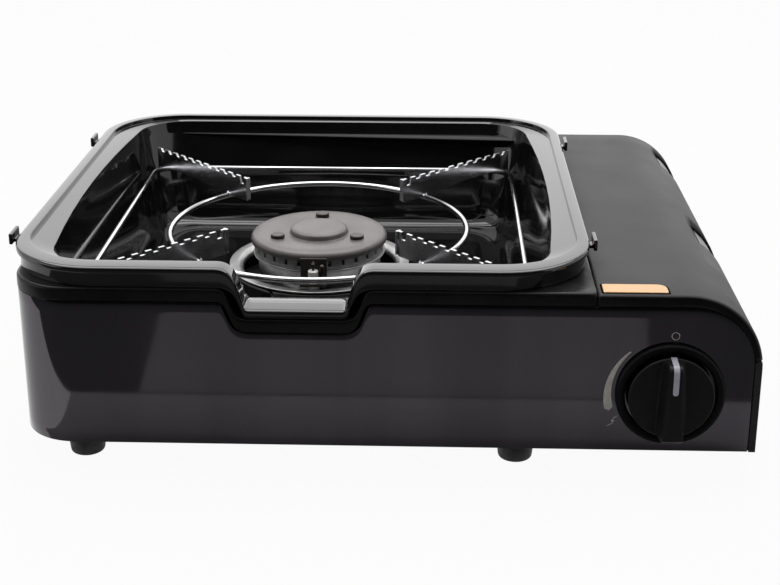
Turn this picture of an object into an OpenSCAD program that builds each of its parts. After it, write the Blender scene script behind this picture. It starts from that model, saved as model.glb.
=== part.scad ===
// Portable single-burner cartridge stove with a deep gloss drip bowl, a lift-out pan support,
// a hinged cartridge lid and a push-and-turn gas dial.
// Millimetres, +Z up, front towards -Y, origin under the middle of the overall box.

/* [Body] */
// Width from the left side to the outer face of the lid side
body_w = 376; // [360:1:400]
// Depth from the front panel to the back wall
body_d = 298; // [290:1:310]
// Height of the front panel
panel_h = 78; // [76:1:90]
// Radius of the two left upright corners
corner_r = 30; // [20:1:36]
// Thickness of the pressed sheets
sheet = 1; // [0.8:0.1:1.4]
// Height of the cover's lip above the front panel
cover_lip = 6; // [5:0.5:9]
// Gap between sheets that meet but are not joined
seam_gap = 0.5; // [0.3:0.1:1]
// Height of the base pan's upturned flange
base_flange_h = 15; // [12:1:24]

/* [Lid] */
// Width of the cartridge lid, seen from above
lid_w = 82.5; // [80:0.5:86]
// Radius of the lid's rounded shoulder
shoulder_r = 39; // [36:1:44]
// Width of the lid's band beside the front panel
lid_band = 3.4; // [3:0.2:5]
// Angle of the lid's seam on the shoulder, above the horizontal
seam_angle = 8; // [4:1:14]
// Angle at which the lid's hinge cut-outs end, above the horizontal
cutout_angle = 57; // [45:1:66]
// Distance of the hinge axis outside the shoulder
hinge_out = 0.6; // [0.4:0.1:1]
// Diameter of a hinge knuckle
knuckle_d = 4.4; // [4:0.2:5]
// Diameter of the hinge pins
hinge_pin_d = 2.4; // [2:0.1:2.8]
// Radial running clearance of pins and shafts
run_clear = 0.05; // [0.02:0.01:0.08]
// Length of one hinge bracket along its pin
hinge_len = 28; // [22:1:34]
// Place of the front hinge behind the front panel
front_hinge_y = 112; // [100:1:125]
// Place of the rear hinge in front of the back wall
rear_hinge_in = 36; // [30:1:48]
// Size of the bare badge plate: width
badge_w = 33; // [24:1:40]
// Size of the bare badge plate: depth
badge_d = 14.5; // [10:0.5:18]

/* [Bowl] */
// How far the rim stands out over the left side
rim_over_x = 3.9; // [1:0.1:5]
// How far the rim stands out over the front and the back
rim_over_y = 2; // [0:0.1:3]
// Distance of the rim's middle behind the body's middle
rim_back = 1.5; // [0:0.1:2]
// Corner radius of the rim
rim_r = 48; // [42:1:54]
// Height of the rim's outer skirt
skirt_h = 10.5; // [9:0.5:13]
// Width of the rolled lip on top of the rim
lip_w = 4; // [3:0.5:6]
// Width of the shelf inside the lip, at the middle of the left and right sides
shelf_w = 10.5; // [9:0.5:13]
// Width of the shelf inside the lip, at the front and the back
shelf_d = 7.5; // [6:0.5:10]
// How far the shelf's sides are drawn in near the corners
side_bulge = 5.5; // [3:0.5:8]
// Height of the sloped facet below the shelf's edge
facet_h = 6.5; // [4:0.5:8]
// Height of the bowl's floor above the body's underside
bowl_floor = 26; // [24:1:32]
// Thickness of the bowl's enamelled sheet
bowl_t = 1.2; // [1:0.1:1.6]
// Depth of the front notch in the rim
notch_drop = 21; // [14:1:23]
// Depth of the front notch in the cover and the panel
notch_drop_low = 16; // [10:1:18]
// Half width of the rim's notch at its top
notch_half_top = 35; // [30:1:40]
// Half width of the rim's notch at its bottom
notch_half_bottom = 22; // [18:1:26]
// Extra half width of the notch in the cover and the panel
notch_step = 3; // [2:0.5:5]

/* [Burner] */
// Diameter of the burner cap
cap_d = 80.6; // [74:0.2:82]
// Height of the cap's top above the body's underside
cap_top = 64.2; // [60:0.1:68]
// Thickness of the cap
cap_t = 4.2; // [3.4:0.1:5]
// Height of the slotted flame ring
flame_ring_h = 7.5; // [6:0.5:9]
// Number of flame slots
flame_slots = 28; // [20:1:36]
// Outer diameter of the mixing tube
mixing_d = 16; // [13:0.5:18]
// Bore radius of the bowl round the burner
bowl_bore_r = 51.5; // [49:0.5:54]
// Inner radius of the bright reflector ring
reflector_r = 43; // [42:0.5:46]

/* [Pan support] */
// Distance of the outer wire frame inside the rim's edge
frame_in = 30.1; // [29.5:0.1:36]
// Corner radius of the outer wire frame
frame_r = 14; // [10:1:18]
// Diameter of the outer wire
frame_wire_d = 3; // [2.4:0.1:3.4]
// Radius of the ring wire
ring_r = 87.5; // [80:0.5:90]
// Diameter of the ring wire
ring_wire_d = 3.4; // [2.8:0.1:4]
// Height of the wires above the body's underside
wire_z = 67; // [65:0.5:72]
// Height of the brackets' top above the wires' axes
bracket_rise = 13.8; // [11:0.2:15]
// Thickness of a bracket
bracket_t = 1.5; // [1.2:0.1:2]
// Distance of a bracket's inner end from the burner's axis
bracket_in = 69; // [64:1:74]
// Number of steps along a bracket's top
bracket_teeth = 10; // [6:1:12]

/* [Dial] */
// Distance of the dial's axis from the lid's outer side
dial_in = 44.6; // [40:0.2:48]
// Height of the dial's axis above the body's underside
dial_z = 31.7; // [31:0.1:38]
// Outer diameter of the fixed bezel
bezel_d = 54.8; // [50:0.2:58]
// Diameter of the turning dial
dial_d = 43; // [38:0.5:46]
// Width of the dial's grip bar at its lower end
grip_w = 11; // [9:0.5:14]
// Width of the dial's grip bar at its upper end
grip_top_w = 7.2; // [6:0.2:9]
// How far the grip stands out from the panel
grip_out = 19; // [16:0.5:22]
// How far the dial can be pushed in
push_travel = 3; // [2:0.2:3.2]
// Diameter of the valve spindle
spindle_d = 6; // [5:0.2:7]

/* [Feet] */
// Height of the rubber feet
foot_h = 12; // [9:0.5:16]
// Diameter of a foot where it meets the base
foot_d = 20; // [16:0.5:22]
// Diameter of a foot's tread
foot_tip_d = 17.5; // [13:0.5:19]
// Distance of the left feet from the left side
foot_left_x = 33; // [28:0.5:40]
// Distance of the right feet from the lid's seam
foot_seam_in = 37.5; // [30:0.5:50]
// Distance of the feet from the front and the back
foot_inset_y = 15.5; // [13:0.5:24]

/* [Cartridge bay] */
// Diameter of the gas cartridge that the bay takes
cartridge_d = 67; // [66:0.5:70]
// Length of the gas cartridge that the bay takes
cartridge_l = 187; // [180:1:190]
// Play between the cartridge and its cradle
cartridge_play = 1; // [0.5:0.1:2]

/* [Hidden] */
$fn = 72;
// Overshoot of a cut, and the fit of pieces fixed to each other
cut = 0.5;
fit = 0.1;
// Heights above the floor
z0 = foot_h;
panel_top = z0 + panel_h;
cover_top = panel_top + cover_lip;
rim_bottom = cover_top + 2 * seam_gap;
rim_top = rim_bottom + skirt_h;
floor_z = z0 + bowl_floor;
collar_z = floor_z + 18;
cap_z = z0 + cap_top;
wire_axis_z = z0 + wire_z;
dial_axis_z = z0 + dial_z;
// Lid and hinge
seam_x = body_w - lid_w;
shoulder_x = body_w - shoulder_r;
shoulder_z = cover_top - shoulder_r;
hinge_r = shoulder_r + hinge_out;
hinge_x = shoulder_x + hinge_r * cos(seam_angle);
hinge_z = shoulder_z + hinge_r * sin(seam_angle);
hinge_ys = [front_hinge_y, body_d - rear_hinge_in];
knuckle_len = 7;
knuckle_gap = 0.4;
leaf_short = 6;
seam_half_angle = asin(2 * seam_gap / shoulder_r);
panel_right = body_w - lid_band - seam_gap;
panel_corner_r = shoulder_r - cover_lip - seam_gap;
// Rim, burner and feet between the left side and the lid's seam
rim_gap = 0.2;
rim_w = seam_x - rim_gap + rim_over_x;
rim_d = body_d + 2 * rim_over_y;
burner_x = (seam_x - rim_gap - rim_over_x) / 2;
burner_y = body_d / 2 + rim_back;
frame_half = min(rim_w, rim_d) / 2 - frame_in;
dial_x = body_w - dial_in;
foot_right_x = seam_x - foot_seam_in;
// Vent slots in the back wall and cooling slots in the base
vents = 8;
vent_pitch = 16;
vent_w = 6;
vent_h = 22;
vent_rise = 30;
cool_slots = 6;
cool_pitch = 10;
cool_w = 4;
cool_len = 40;
// Rim clips and the overall box, which sets the origin
clip_out = 3.5;
clip_len = 14;
clip_bar = 2;
clip_rise = 2;
clip_h = 6;
clip_ys = [burner_y - 103, burner_y + 83];
left_edge = burner_x - rim_w / 2 - clip_out;
right_edge = hinge_x + knuckle_d / 2;
pointer_proud = 0.4;
front_edge = -grip_out - pointer_proud;
back_edge = burner_y + rim_d / 2;
mid_x = (left_edge + right_edge) / 2;
mid_y = (front_edge + back_edge) / 2;
// Bowl
skirt_taper = 4;
lip_edge = 1.5;
groove = 0.6;
shelf_fall = 2;
opening_r = 30;
cover_hole_in = 10;
seat_w = 4;
seat_len = 20;
seat_y = 60;
notch_steps = 12;
corner_steps = 8;
side_steps = 8;
cover_half_top = notch_half_top + notch_step;
cover_half_bottom = notch_half_bottom + notch_step;
// Burner stack
cap_bottom = cap_z - cap_t;
ring_bottom = cap_bottom - flame_ring_h;
ring_out_r = cap_d / 2 - 2;
ring_wall = 4.5;
slot_w = 1.4;
slot_h = 4.5;
burner_neck_r = 17;
burner_foot_z = z0 + 4;
mixing_z = z0 + 13;
mixing_end_x = burner_x + 84;
jet_gap = 6;
jet_r = 5;
jet_len = 14;
tube_r = 3;
// Pan support
bracket_end = (frame_half - frame_r) * sqrt(2) + frame_r + 3;
bracket_low = -1;
bracket_waist = 2;
tooth_h = 1.8;
tab_w = 3.2;
tab_len = 2.5;
dip_w = 4;
dip_h = 4.5;
rest_gap = 0.3;
rest_w = 9;
wire_fit = 0.03;
// Dial and valve
bezel_h = 3.5;
bezel_floor = 0.8;
dial_gap = 0.4;
dial_back = -bezel_floor - dial_gap - push_travel;
dial_disc_t = 4.8;
dial_play = 1;
sleeve_r = 5;
sleeve_y = 6;
sleeve_len = 8;
block_w = 36;
block_d = 34;
block_h = 32;
block_y = sheet + fit;
bay_x = (seam_x + body_w - sheet) / 2;
bay_z = z0 + sheet + 4 + cartridge_d / 2;
neck_len = 10;
nozzle_len = 16;
cartridge_y = block_y + block_d + nozzle_len + 2;
partition_x = seam_x - 2 * sheet - seam_gap;
electrode_r = cap_d / 2 + 4.7;
electrode_y = burner_y - electrode_r;
electrode_z = cap_z - 9;
spark_w = 15;
sensor_x = burner_x + 5;
wire_d = 2.4;
bend_block = 1.3;
tube_x = partition_x - 12;
tube_y = block_y + block_d / 2;
tube_z = z0 + 22;
spark_lane_y = 46;
spark_lane_z = z0 + 5;
lead_lane_y = 54;
lead_lane_z = z0 + 20;
lead_end_y = block_y + block_d - 6;
screw_d = 4;
screw_head_d = 7.5;
screw_head_h = 2.2;
// Burner stand, sensors and small fixings
stand_half = 46;
stand_d = 28;
stand_t = 1.5;
stand_screws = [[burner_x - 40, burner_y], [burner_x + 50, burner_y - 10]];
cover_screw_d = 3;
cover_screw_ys = [40, body_d - 40];
flange_w = 9;
valve_screw_x = block_w / 2 - 4;
valve_screw_r = 1.9;
magnet_t = 6;
piezo_r = 6;
piezo_len = 30;
piezo_z = dial_axis_z - block_h / 2 - piezo_r - fit;
foot_seat = foot_h / 2;
cradle_t = 3;
cradle_in = 28;
cradle_span = cartridge_l - 61;
strip_half = 12;
saddle_half = 24;
saddle_h = 18;
stop_w = 30;
stop_t = 1.5;
stop_foot = 14;
pointer_w = 2.8;
pointer_in = 0.6;
pointer_low = 7;
pointer_back = 8;
grip_r = dial_d / 2 - 0.6;

// Share of a notch's depth at a place across it, rounded at its top and bottom
function notch_share(x, half_top, half_bottom) =
  let (t = min(1, max(0, (half_top - abs(x)) / (half_top - half_bottom)))) t * t * (3 - 2 * t);
// Places across a notch, close together on its slopes
function notch_places(half_top, half_bottom) = concat(
  [for (i = [0 : notch_steps]) -half_top + i * (half_top - half_bottom) / notch_steps],
  [for (i = [0 : notch_steps]) half_bottom + i * (half_top - half_bottom) / notch_steps]);
// Upper edge of the cover's lip or the panel across the notch, lowered from z
function notch_edge(z) = [for (x = notch_places(cover_half_top, cover_half_bottom))
  [burner_x + x, z - notch_drop_low * notch_share(x, cover_half_top, cover_half_bottom)]];
function reversed(list) = [for (i = [len(list) - 1 : -1 : 0]) list[i]];

// Moves a piece from the body's own corner to the shared origin
module place() translate([-mid_x, -mid_y, 0]) children();
// Rectangle with all corners rounded, from its lowest corner
module rounded_rect(w, d, r) {
  translate([r, 0]) square([w - 2 * r, d]);
  translate([0, r]) square([w, d - 2 * r]);
  for (x = [r, w - r], y = [r, d - r]) translate([x, y]) circle(r);
}
// Body seen from above, drawn in by inset, square on its right side
module body_plan(inset, right) {
  intersection() {
    translate([inset, inset]) rounded_rect(2 * body_w, body_d - 2 * inset, corner_r - inset);
    translate([-body_w, -body_w]) square([body_w + right, 3 * body_w]);
  }
}
// Cylinder along +Y from a start point
module rod_y(x, y, z, r, len) translate([x, y, z]) rotate([-90, 0, 0]) cylinder(r = r, h = len);
// Cylinder along +X from a start point
module rod_x(x, y, z, r, len) translate([x, y, z]) rotate([0, 90, 0]) cylinder(r = r, h = len);
// Outline drawn in X and Z, with a thickness along +Y from y
module upright(y, t) translate([0, y + t, 0]) rotate([90, 0, 0]) linear_extrude(t) children();
// Round cord through a list of points, its square bends drawn as small elbow blocks
module cord(points, r) {
  for (i = [0 : len(points) - 2]) {
    a = points[i];
    v = points[i + 1] - a;
    translate(a) rotate([0, acos(v[2] / norm(v)), atan2(v[1], v[0])]) cylinder(r = r, h = norm(v), $fn = 24);
  }
  for (i = [1 : len(points) - 2]) translate(points[i]) cube(2 * bend_block * r, center = true);
}
// Pan-head screw pointing down, its head's seat at the given point
module screw_down(p, len) translate(p) {
  cylinder(d = screw_head_d, h = screw_head_h);
  translate([0, 0, -len]) cylinder(d = screw_d, h = len);
}

// Base
module base_pan() color("dimgray") place() difference() {
  union() {
    translate([0, 0, z0]) linear_extrude(sheet) body_plan(sheet + fit, body_w - sheet - fit);
    translate([0, 0, z0]) linear_extrude(base_flange_h) difference() {
      body_plan(sheet + fit, body_w - sheet - fit);
      body_plan(2 * sheet + fit, body_w - 2 * sheet - fit);
    }
  }
  for (x = [foot_left_x, foot_right_x], y = [foot_inset_y, body_d - foot_inset_y])
    translate([x, y, z0 - cut]) cylinder(d = screw_d + 2 * fit, h = sheet + 2 * cut);
  for (p = stand_screws)
    translate([p[0], p[1], z0 - cut]) cylinder(d = screw_d + 2 * fit, h = sheet + 2 * cut);
  for (i = [0 : cool_slots - 1], y = [body_d / 2 - cool_len, body_d / 2 + cool_len])
    translate([bay_x + (i - (cool_slots - 1) / 2) * cool_pitch - cool_w / 2, y - cool_len / 2, z0 - cut])
      cube([cool_w, cool_len, sheet + 2 * cut]);
}
module front_panel() color([0.23, 0.22, 0.24]) place() difference() {
  translate([0, 0, z0]) linear_extrude(panel_h - seam_gap) difference() {
    body_plan(0, panel_right);
    body_plan(sheet, 2 * body_w);
    translate([corner_r, corner_r]) square([body_w, body_d]);
  }
  upright(-cut, sheet + 2 * cut) polygon(concat(
    [[burner_x + cover_half_top, panel_top + cut], [burner_x - cover_half_top, panel_top + cut]],
    notch_edge(panel_top - seam_gap)));
  upright(-cut, sheet + 2 * cut) difference() {
    translate([panel_right - panel_corner_r, panel_top - seam_gap - panel_corner_r])
      square(panel_corner_r + cut);
    translate([panel_right - panel_corner_r, panel_top - seam_gap - panel_corner_r]) circle(panel_corner_r);
  }
  rod_y(dial_x, -cut, dial_axis_z, spindle_d / 2 + dial_play, sheet + 2 * cut);
  for (side = [-1, 1])
    rod_y(dial_x + side * valve_screw_x, -cut, dial_axis_z, valve_screw_r + fit, sheet + 2 * cut);
}
// Outline of the lid side in X and Z, drawn in by inset
module lid_side_outline(inset) {
  translate([seam_x - body_w, z0]) square([body_w + lid_w - shoulder_r, cover_top - z0 - inset]);
  translate([shoulder_x - cut, z0]) square([shoulder_r + cut - inset, shoulder_z - z0]);
  translate([shoulder_x, shoulder_z]) circle(shoulder_r - inset);
}
// Part of that outline that lies outside the front panel
module band_outline() difference() {
  lid_side_outline(0);
  translate([0, z0 - cut]) square([panel_right + seam_gap - panel_corner_r, panel_h + cut]);
  translate([0, z0 - cut]) square([panel_right + seam_gap, panel_h + cut - panel_corner_r]);
  translate([panel_right + seam_gap - panel_corner_r, panel_top - panel_corner_r]) circle(panel_corner_r);
}
// Wedge of the side below or above a line through the shoulder's centre at an angle
module shoulder_wedge(angle) translate([shoulder_x, shoulder_z]) rotate(angle)
  translate([0, -2 * body_w]) square([2 * body_w, 2 * body_w]);
module side_panel() color([0.11, 0.11, 0.12]) place() difference() {
  union() {
    upright(-sheet / 2, body_d + sheet) intersection() {
      difference() {
        lid_side_outline(0);
        lid_side_outline(sheet);
      }
      shoulder_wedge(seam_angle - seam_half_angle);
      translate([shoulder_x, z0]) square(body_w);
    }
    for (y = [-sheet / 2, body_d - sheet / 2]) upright(y, sheet) intersection() {
      band_outline();
      shoulder_wedge(seam_angle - seam_half_angle);
      translate([shoulder_x, z0]) square(body_w);
    }
  }
  for (y = hinge_ys)
    rod_y(hinge_x, y - hinge_len / 2 - knuckle_len - 2, hinge_z, knuckle_d / 2 + knuckle_gap,
      hinge_len + 2 * knuckle_len + 4);
}
module back_wall() color([0.13, 0.13, 0.14]) place() difference() {
  translate([corner_r + fit, body_d - sheet, z0])
    cube([panel_right - corner_r - fit, sheet, panel_h - seam_gap]);
  upright(body_d - sheet - cut, sheet + 2 * cut) difference() {
    translate([panel_right - panel_corner_r, panel_top - seam_gap - panel_corner_r])
      square(panel_corner_r + cut);
    translate([panel_right - panel_corner_r, panel_top - seam_gap - panel_corner_r]) circle(panel_corner_r);
  }
  for (i = [0 : vents - 1])
    translate([burner_x + (i - (vents - 1) / 2) * vent_pitch - vent_w / 2, body_d - sheet - cut,
      z0 + vent_rise]) cube([vent_w, sheet + 2 * cut, vent_h]);
}

// Covers
module top_cover() color([0.12, 0.12, 0.13]) place() {
  difference() {
    translate([0, -sheet / 2, 0]) union() {
      translate([0, 0, cover_top - sheet]) linear_extrude(sheet) body_plan(0, seam_x - seam_gap / 2);
      translate([0, 0, panel_top]) linear_extrude(cover_lip) difference() {
        body_plan(0, seam_x - seam_gap / 2);
        body_plan(sheet, 2 * body_w);
      }
    }
    translate([burner_x - rim_w / 2 + cover_hole_in, burner_y - rim_d / 2 + cover_hole_in, panel_top - cut])
      linear_extrude(cover_lip + 2 * cut)
      rounded_rect(rim_w - 2 * cover_hole_in, rim_d - 2 * cover_hole_in, rim_r - cover_hole_in);
    upright(-sheet, cover_hole_in + 4 * sheet) polygon(concat(
      [[burner_x + cover_half_top, cover_top + cut], [burner_x - cover_half_top, cover_top + cut]],
      notch_edge(cover_top)));
    for (y = cover_screw_ys) translate([partition_x - flange_w / 2, y, cover_top - sheet - cut])
      cylinder(d = cover_screw_d + 2 * fit, h = sheet + 2 * cut);
  }
  upright(-sheet / 2, sheet) polygon(concat(notch_edge(cover_top), reversed(notch_edge(panel_top))));
  upright(sheet / 2, burner_y - rim_d / 2 + cover_hole_in - sheet / 2)
    polygon(concat(notch_edge(cover_top), reversed(notch_edge(cover_top - sheet))));
  for (side = [-1, 1], y = [-seat_y, seat_y])
    translate([burner_x + side * (half_w - skirt_taper - fit - seat_w / 2) - seat_w / 2,
      burner_y + y - seat_len / 2, cover_top - fit]) cube([seat_w, seat_len, 2 * seam_gap]);
}
module cartridge_lid() color([0.2, 0.2, 0.21]) place() {
  difference() {
    union() {
      upright(-sheet / 2, body_d + sheet) difference() {
        lid_side_outline(0);
        lid_side_outline(sheet);
        shoulder_wedge(seam_angle + seam_half_angle);
        translate([-body_w, 0]) square([body_w + seam_x + seam_gap / 2, 2 * cover_top]);
      }
      for (y = [-sheet / 2, body_d - sheet / 2]) upright(y, sheet) difference() {
        band_outline();
        shoulder_wedge(seam_angle + seam_half_angle);
        translate([-body_w, 0]) square([body_w + seam_x + seam_gap / 2, 2 * cover_top]);
      }
      translate([seam_x + seam_gap / 2, 0, cover_top - cover_lip]) cube([sheet, body_d, cover_lip]);
    }
    for (y = hinge_ys) upright(y - hinge_len / 2 - 1, hinge_len + 2) difference() {
      translate([shoulder_x, shoulder_z]) square(shoulder_r + cut);
      translate([shoulder_x, shoulder_z]) rotate(cutout_angle) square(body_w);
    }
    for (y = hinge_ys) rod_y(hinge_x, y - hinge_len, hinge_z, hinge_pin_d / 2 + run_clear, 2 * hinge_len);
  }
  for (y = hinge_ys, side = [-1, 1]) difference() {
    rod_y(hinge_x, y + side * (hinge_len / 2 + 1 + knuckle_len / 2) - knuckle_len / 2, hinge_z,
      knuckle_d / 2, knuckle_len);
    rod_y(hinge_x, y - hinge_len, hinge_z, hinge_pin_d / 2 + run_clear, 2 * hinge_len);
  }
}
module lid_badge() color([0.86, 0.62, 0.42]) place()
  translate([seam_x + 2, 3, cover_top]) linear_extrude(0.6) rounded_rect(badge_w, badge_d, 2.5);
module hinge_brackets() color([0.6, 0.6, 0.6]) place() for (y = hinge_ys) difference() {
  union() {
    upright(y - hinge_len / 2, hinge_len) {
      intersection() {
        difference() {
          translate([shoulder_x, shoulder_z]) circle(shoulder_r - sheet);
          translate([shoulder_x, shoulder_z]) circle(shoulder_r - 2.4 * sheet);
        }
        difference() {
          translate([shoulder_x, shoulder_z]) square(shoulder_r);
          translate([shoulder_x, shoulder_z]) rotate(cutout_angle - leaf_short) square(body_w);
        }
      }
      translate([body_w - 2.4 * sheet, z0 + base_flange_h + 3])
        square([1.4 * sheet, shoulder_z - z0 - base_flange_h - 3]);
    }
    rod_y(hinge_x, y - hinge_len / 2, hinge_z, knuckle_d / 2, hinge_len);
  }
  rod_y(hinge_x, y - hinge_len, hinge_z, hinge_pin_d / 2 + run_clear, 2 * hinge_len);
}
module hinge_pins() color("silver") place() for (y = hinge_ys)
  rod_y(hinge_x, y - hinge_len / 2 - 1 - knuckle_len, hinge_z, hinge_pin_d / 2,
    hinge_len + 2 + 2 * knuckle_len);

// Bowl: a pressed sheet whose outline changes from the rim down to the burner's bore.
// Each row is [round, half width, half depth, corner radius, bulge, height, drop at the notch].
half_w = rim_w / 2;
half_d = rim_d / 2;
lip_in = lip_edge + lip_w;
wall_in = lip_in + groove + shelf_w;
end_in = lip_in + groove + shelf_d;
bowl_rows = [
  [0, half_w - skirt_taper, half_d - skirt_taper, rim_r - skirt_taper, 0, rim_bottom, notch_drop_low],
  [0, half_w - 1, half_d - 1, rim_r - 1, 0, rim_bottom + skirt_h / 2, (notch_drop + notch_drop_low) / 2],
  [0, half_w, half_d, rim_r, 0, rim_top - 2, notch_drop],
  [0, half_w - lip_edge, half_d - lip_edge, rim_r - lip_edge, 0, rim_top, notch_drop],
  [0, half_w - lip_in, half_d - lip_in, rim_r - lip_in, 0, rim_top, notch_drop],
  [0, half_w - lip_in - groove, half_d - lip_in - groove, rim_r - lip_in - groove, 0, rim_top - 1.5,
    notch_drop],
  [0, half_w - wall_in - side_bulge, half_d - end_in, opening_r, side_bulge, rim_top - shelf_fall,
    notch_drop],
  [0, half_w - wall_in - side_bulge - 1.5, half_d - end_in - 1.5, opening_r - 2, 0,
    rim_top - shelf_fall - facet_h, notch_drop - 1],
  [0, frame_half + 5.2, frame_half + 10, 28, 4, wire_axis_z - 1, 4],
  [0, frame_half - 1, frame_half + 4, 26, 2, floor_z + 6, 0],
  [0, frame_half - 7, frame_half - 2, 22, 0, floor_z, 0],
  [1, bowl_bore_r + 7, 0, 0, 0, floor_z + 1, 0],
  [1, bowl_bore_r + 1.5, 0, 0, 0, collar_z - 1, 0],
  [1, bowl_bore_r, 0, 0, 0, collar_z, 0]
];
// Direction square to the sheet at a row, pointing down and out
function row_normal(i) =
  let (a = bowl_rows[max(0, i - 1)], b = bowl_rows[min(len(bowl_rows) - 1, i + 1)],
    d = [b[1] - a[1], b[5] - a[5]], far = norm(d)) far > 0 ? [-d[1], d[0]] / far : [0, -1];
function under_row(i) = let (r = bowl_rows[i], n = row_normal(i) * bowl_t)
  [r[0], r[1] + n[0], r[2] + n[0], r[3] + n[0], r[4], r[5] + n[1], r[6]];
bowl_loop = concat(bowl_rows, [for (i = [len(bowl_rows) - 1 : -1 : 0]) under_row(i)]);
// Points of one corner, without its two ends
function corner_points(a, b, r, start) = [for (k = [1 : corner_steps - 1])
  let (t = start + 90 * k / corner_steps,
    sx = start == -90 || start == 0 ? 1 : -1, sy = start == 0 || start == 90 ? 1 : -1)
  [sx * (a - r) + r * cos(t), sy * (b - r) + r * sin(t)]];
// Outline of a row, anticlockwise from the left end of its front side
function row_outline(a, b, r, bulge) = concat(
  [[-(a - r), -b]],
  [for (x = notch_places(notch_half_top, notch_half_bottom)) [x, -b]],
  [[a - r, -b]],
  corner_points(a, b, r, -90),
  [for (k = [0 : side_steps]) let (s = 2 * k / side_steps - 1) [a + bulge * (1 - s * s), s * (b - r)]],
  corner_points(a, b, r, 0),
  [for (k = [0 : side_steps]) [(a - r) * (1 - 2 * k / side_steps), b]],
  corner_points(a, b, r, 90),
  [for (k = [0 : side_steps]) let (s = 1 - 2 * k / side_steps) [-a - bulge * (1 - s * s), s * (b - r)]],
  corner_points(a, b, r, 180));
guide_outline = row_outline(half_w, half_d, rim_r, 0);
function row_points(row) =
  let (flat = row[0] == 0 ? row_outline(row[1], row[2], row[3], row[4])
    : [for (p = guide_outline) row[1] * p / norm(p)])
  [for (p = flat) [p[0], p[1], row[5]
    - (p[1] < 0 ? row[6] * notch_share(p[0], notch_half_top, notch_half_bottom) : 0)]];
module drip_bowl() color([0.03, 0.03, 0.035]) place() translate([burner_x, burner_y, 0]) {
  count = len(guide_outline);
  rows = len(bowl_loop);
  polyhedron(
    points = [for (row = bowl_loop) each row_points(row)],
    faces = [for (j = [0 : rows - 1], i = [0 : count - 1])
      let (k = (j + 1) % rows, n = (i + 1) % count)
      each [[j * count + i, k * count + i, k * count + n], [j * count + i, k * count + n, j * count + n]]]);
  for (turn = [45, 135, 225, 315]) rotate(turn)
    translate([bracket_end - 12, -rest_w / 2, wire_axis_z - frame_wire_d / 2 - rest_gap - 4])
      cube([14.4, rest_w, 4]);
}
module rim_clips() color([0.05, 0.05, 0.05]) place()
  for (side = [0, 1], y = clip_ys)
    translate([burner_x, y, rim_top - lip_edge - clip_rise]) mirror([side, 0]) {
    translate([half_w - 0.3, -3, 0]) cube([clip_out - clip_bar + 0.3 + fit, 6, clip_rise]);
    translate([half_w + clip_out - clip_bar, -clip_len / 2, 0]) cube([clip_bar, clip_len, clip_h]);
  }

// Burner
module reflector_ring() color([0.8, 0.8, 0.8]) place() translate([burner_x, burner_y, 0]) difference() {
  rotate_extrude() polygon([
    [reflector_r, collar_z - 3], [bowl_bore_r - 1, collar_z + fit], [bowl_bore_r + 2, collar_z + fit],
    [bowl_bore_r + 2, collar_z + fit + 0.9], [bowl_bore_r - 1.4, collar_z + fit + 0.9],
    [reflector_r - 0.6, collar_z - 2.2]]);
  translate([-spark_w / 2 - 1, -electrode_r - 4, floor_z]) cube([spark_w + 2, 9, 40]);
}
module burner_body() color([0.62, 0.62, 0.63]) place() translate([burner_x, burner_y, 0]) difference() {
  rotate_extrude() polygon([
    [0, burner_foot_z], [burner_neck_r, burner_foot_z], [burner_neck_r, floor_z + 2],
    [ring_out_r - 5, ring_bottom - 12], [ring_out_r - 2, ring_bottom - 10],
    [ring_out_r - 2, ring_bottom - 1.5],
    [ring_out_r + 0.8, ring_bottom - 1.2], [ring_out_r + 0.8, ring_bottom],
    [ring_out_r - ring_wall, ring_bottom], [ring_out_r - ring_wall - 3, ring_bottom - 8],
    [burner_neck_r - 5, floor_z + 4], [burner_neck_r - 5, mixing_z], [0, mixing_z]]);
  translate([-burner_x, -burner_y, 0])
    rod_x(burner_x, burner_y, mixing_z, mixing_d / 2 + fit, burner_neck_r + cut);
}
module flame_ring() color([0.72, 0.72, 0.73]) place() translate([burner_x, burner_y, 0]) difference() {
  translate([0, 0, ring_bottom]) cylinder(r = ring_out_r, h = flame_ring_h);
  translate([0, 0, ring_bottom - cut]) cylinder(r = ring_out_r - ring_wall, h = flame_ring_h + 2 * cut);
  for (i = [0 : flame_slots - 1]) rotate((i + 0.5) * 360 / flame_slots)
    translate([ring_out_r - ring_wall - cut, -slot_w / 2, cap_bottom - slot_h])
      cube([ring_wall + 2 * cut, slot_w, slot_h + cut]);
}
module burner_cap() color([0.2, 0.19, 0.19]) place() translate([burner_x, burner_y, 0]) difference() {
  rotate_extrude() polygon([
    [0, cap_bottom], [cap_d / 2 - 1.2, cap_bottom], [cap_d / 2, cap_bottom + 0.8], [cap_d / 2, cap_z - 2.2],
    [cap_d / 2 - 3, cap_z - 0.6], [cap_d / 2 - 8, cap_z], [18, cap_z], [15.5, cap_z + 2.6],
    [14.2, cap_z + 3], [0, cap_z + 3]]);
  for (turn = [90, 210, 330]) rotate(turn) translate([28, 0, cap_bottom - cut])
    cylinder(r = 2 + fit, h = cap_t + 2 * cut);
}
module cap_rivets() color([0.17, 0.16, 0.16]) place() translate([burner_x, burner_y, 0])
  for (turn = [90, 210, 330]) rotate(turn) translate([28, 0, cap_bottom]) {
    cylinder(r = 2, h = cap_t);
    translate([0, 0, cap_t]) cylinder(r = 3.8, h = 1.8);
  }
module mixing_tube() color([0.62, 0.62, 0.63]) place() difference() {
  union() {
    rod_x(burner_x + burner_neck_r - 5, burner_y, mixing_z, mixing_d / 2,
      mixing_end_x - burner_x - burner_neck_r + 5);
    rod_x(mixing_end_x - 6, burner_y, mixing_z, mixing_d / 2 + 2, 6);
  }
  rod_x(burner_x, burner_y, mixing_z, mixing_d / 2 - 2, mixing_end_x - burner_x + cut);
}
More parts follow.
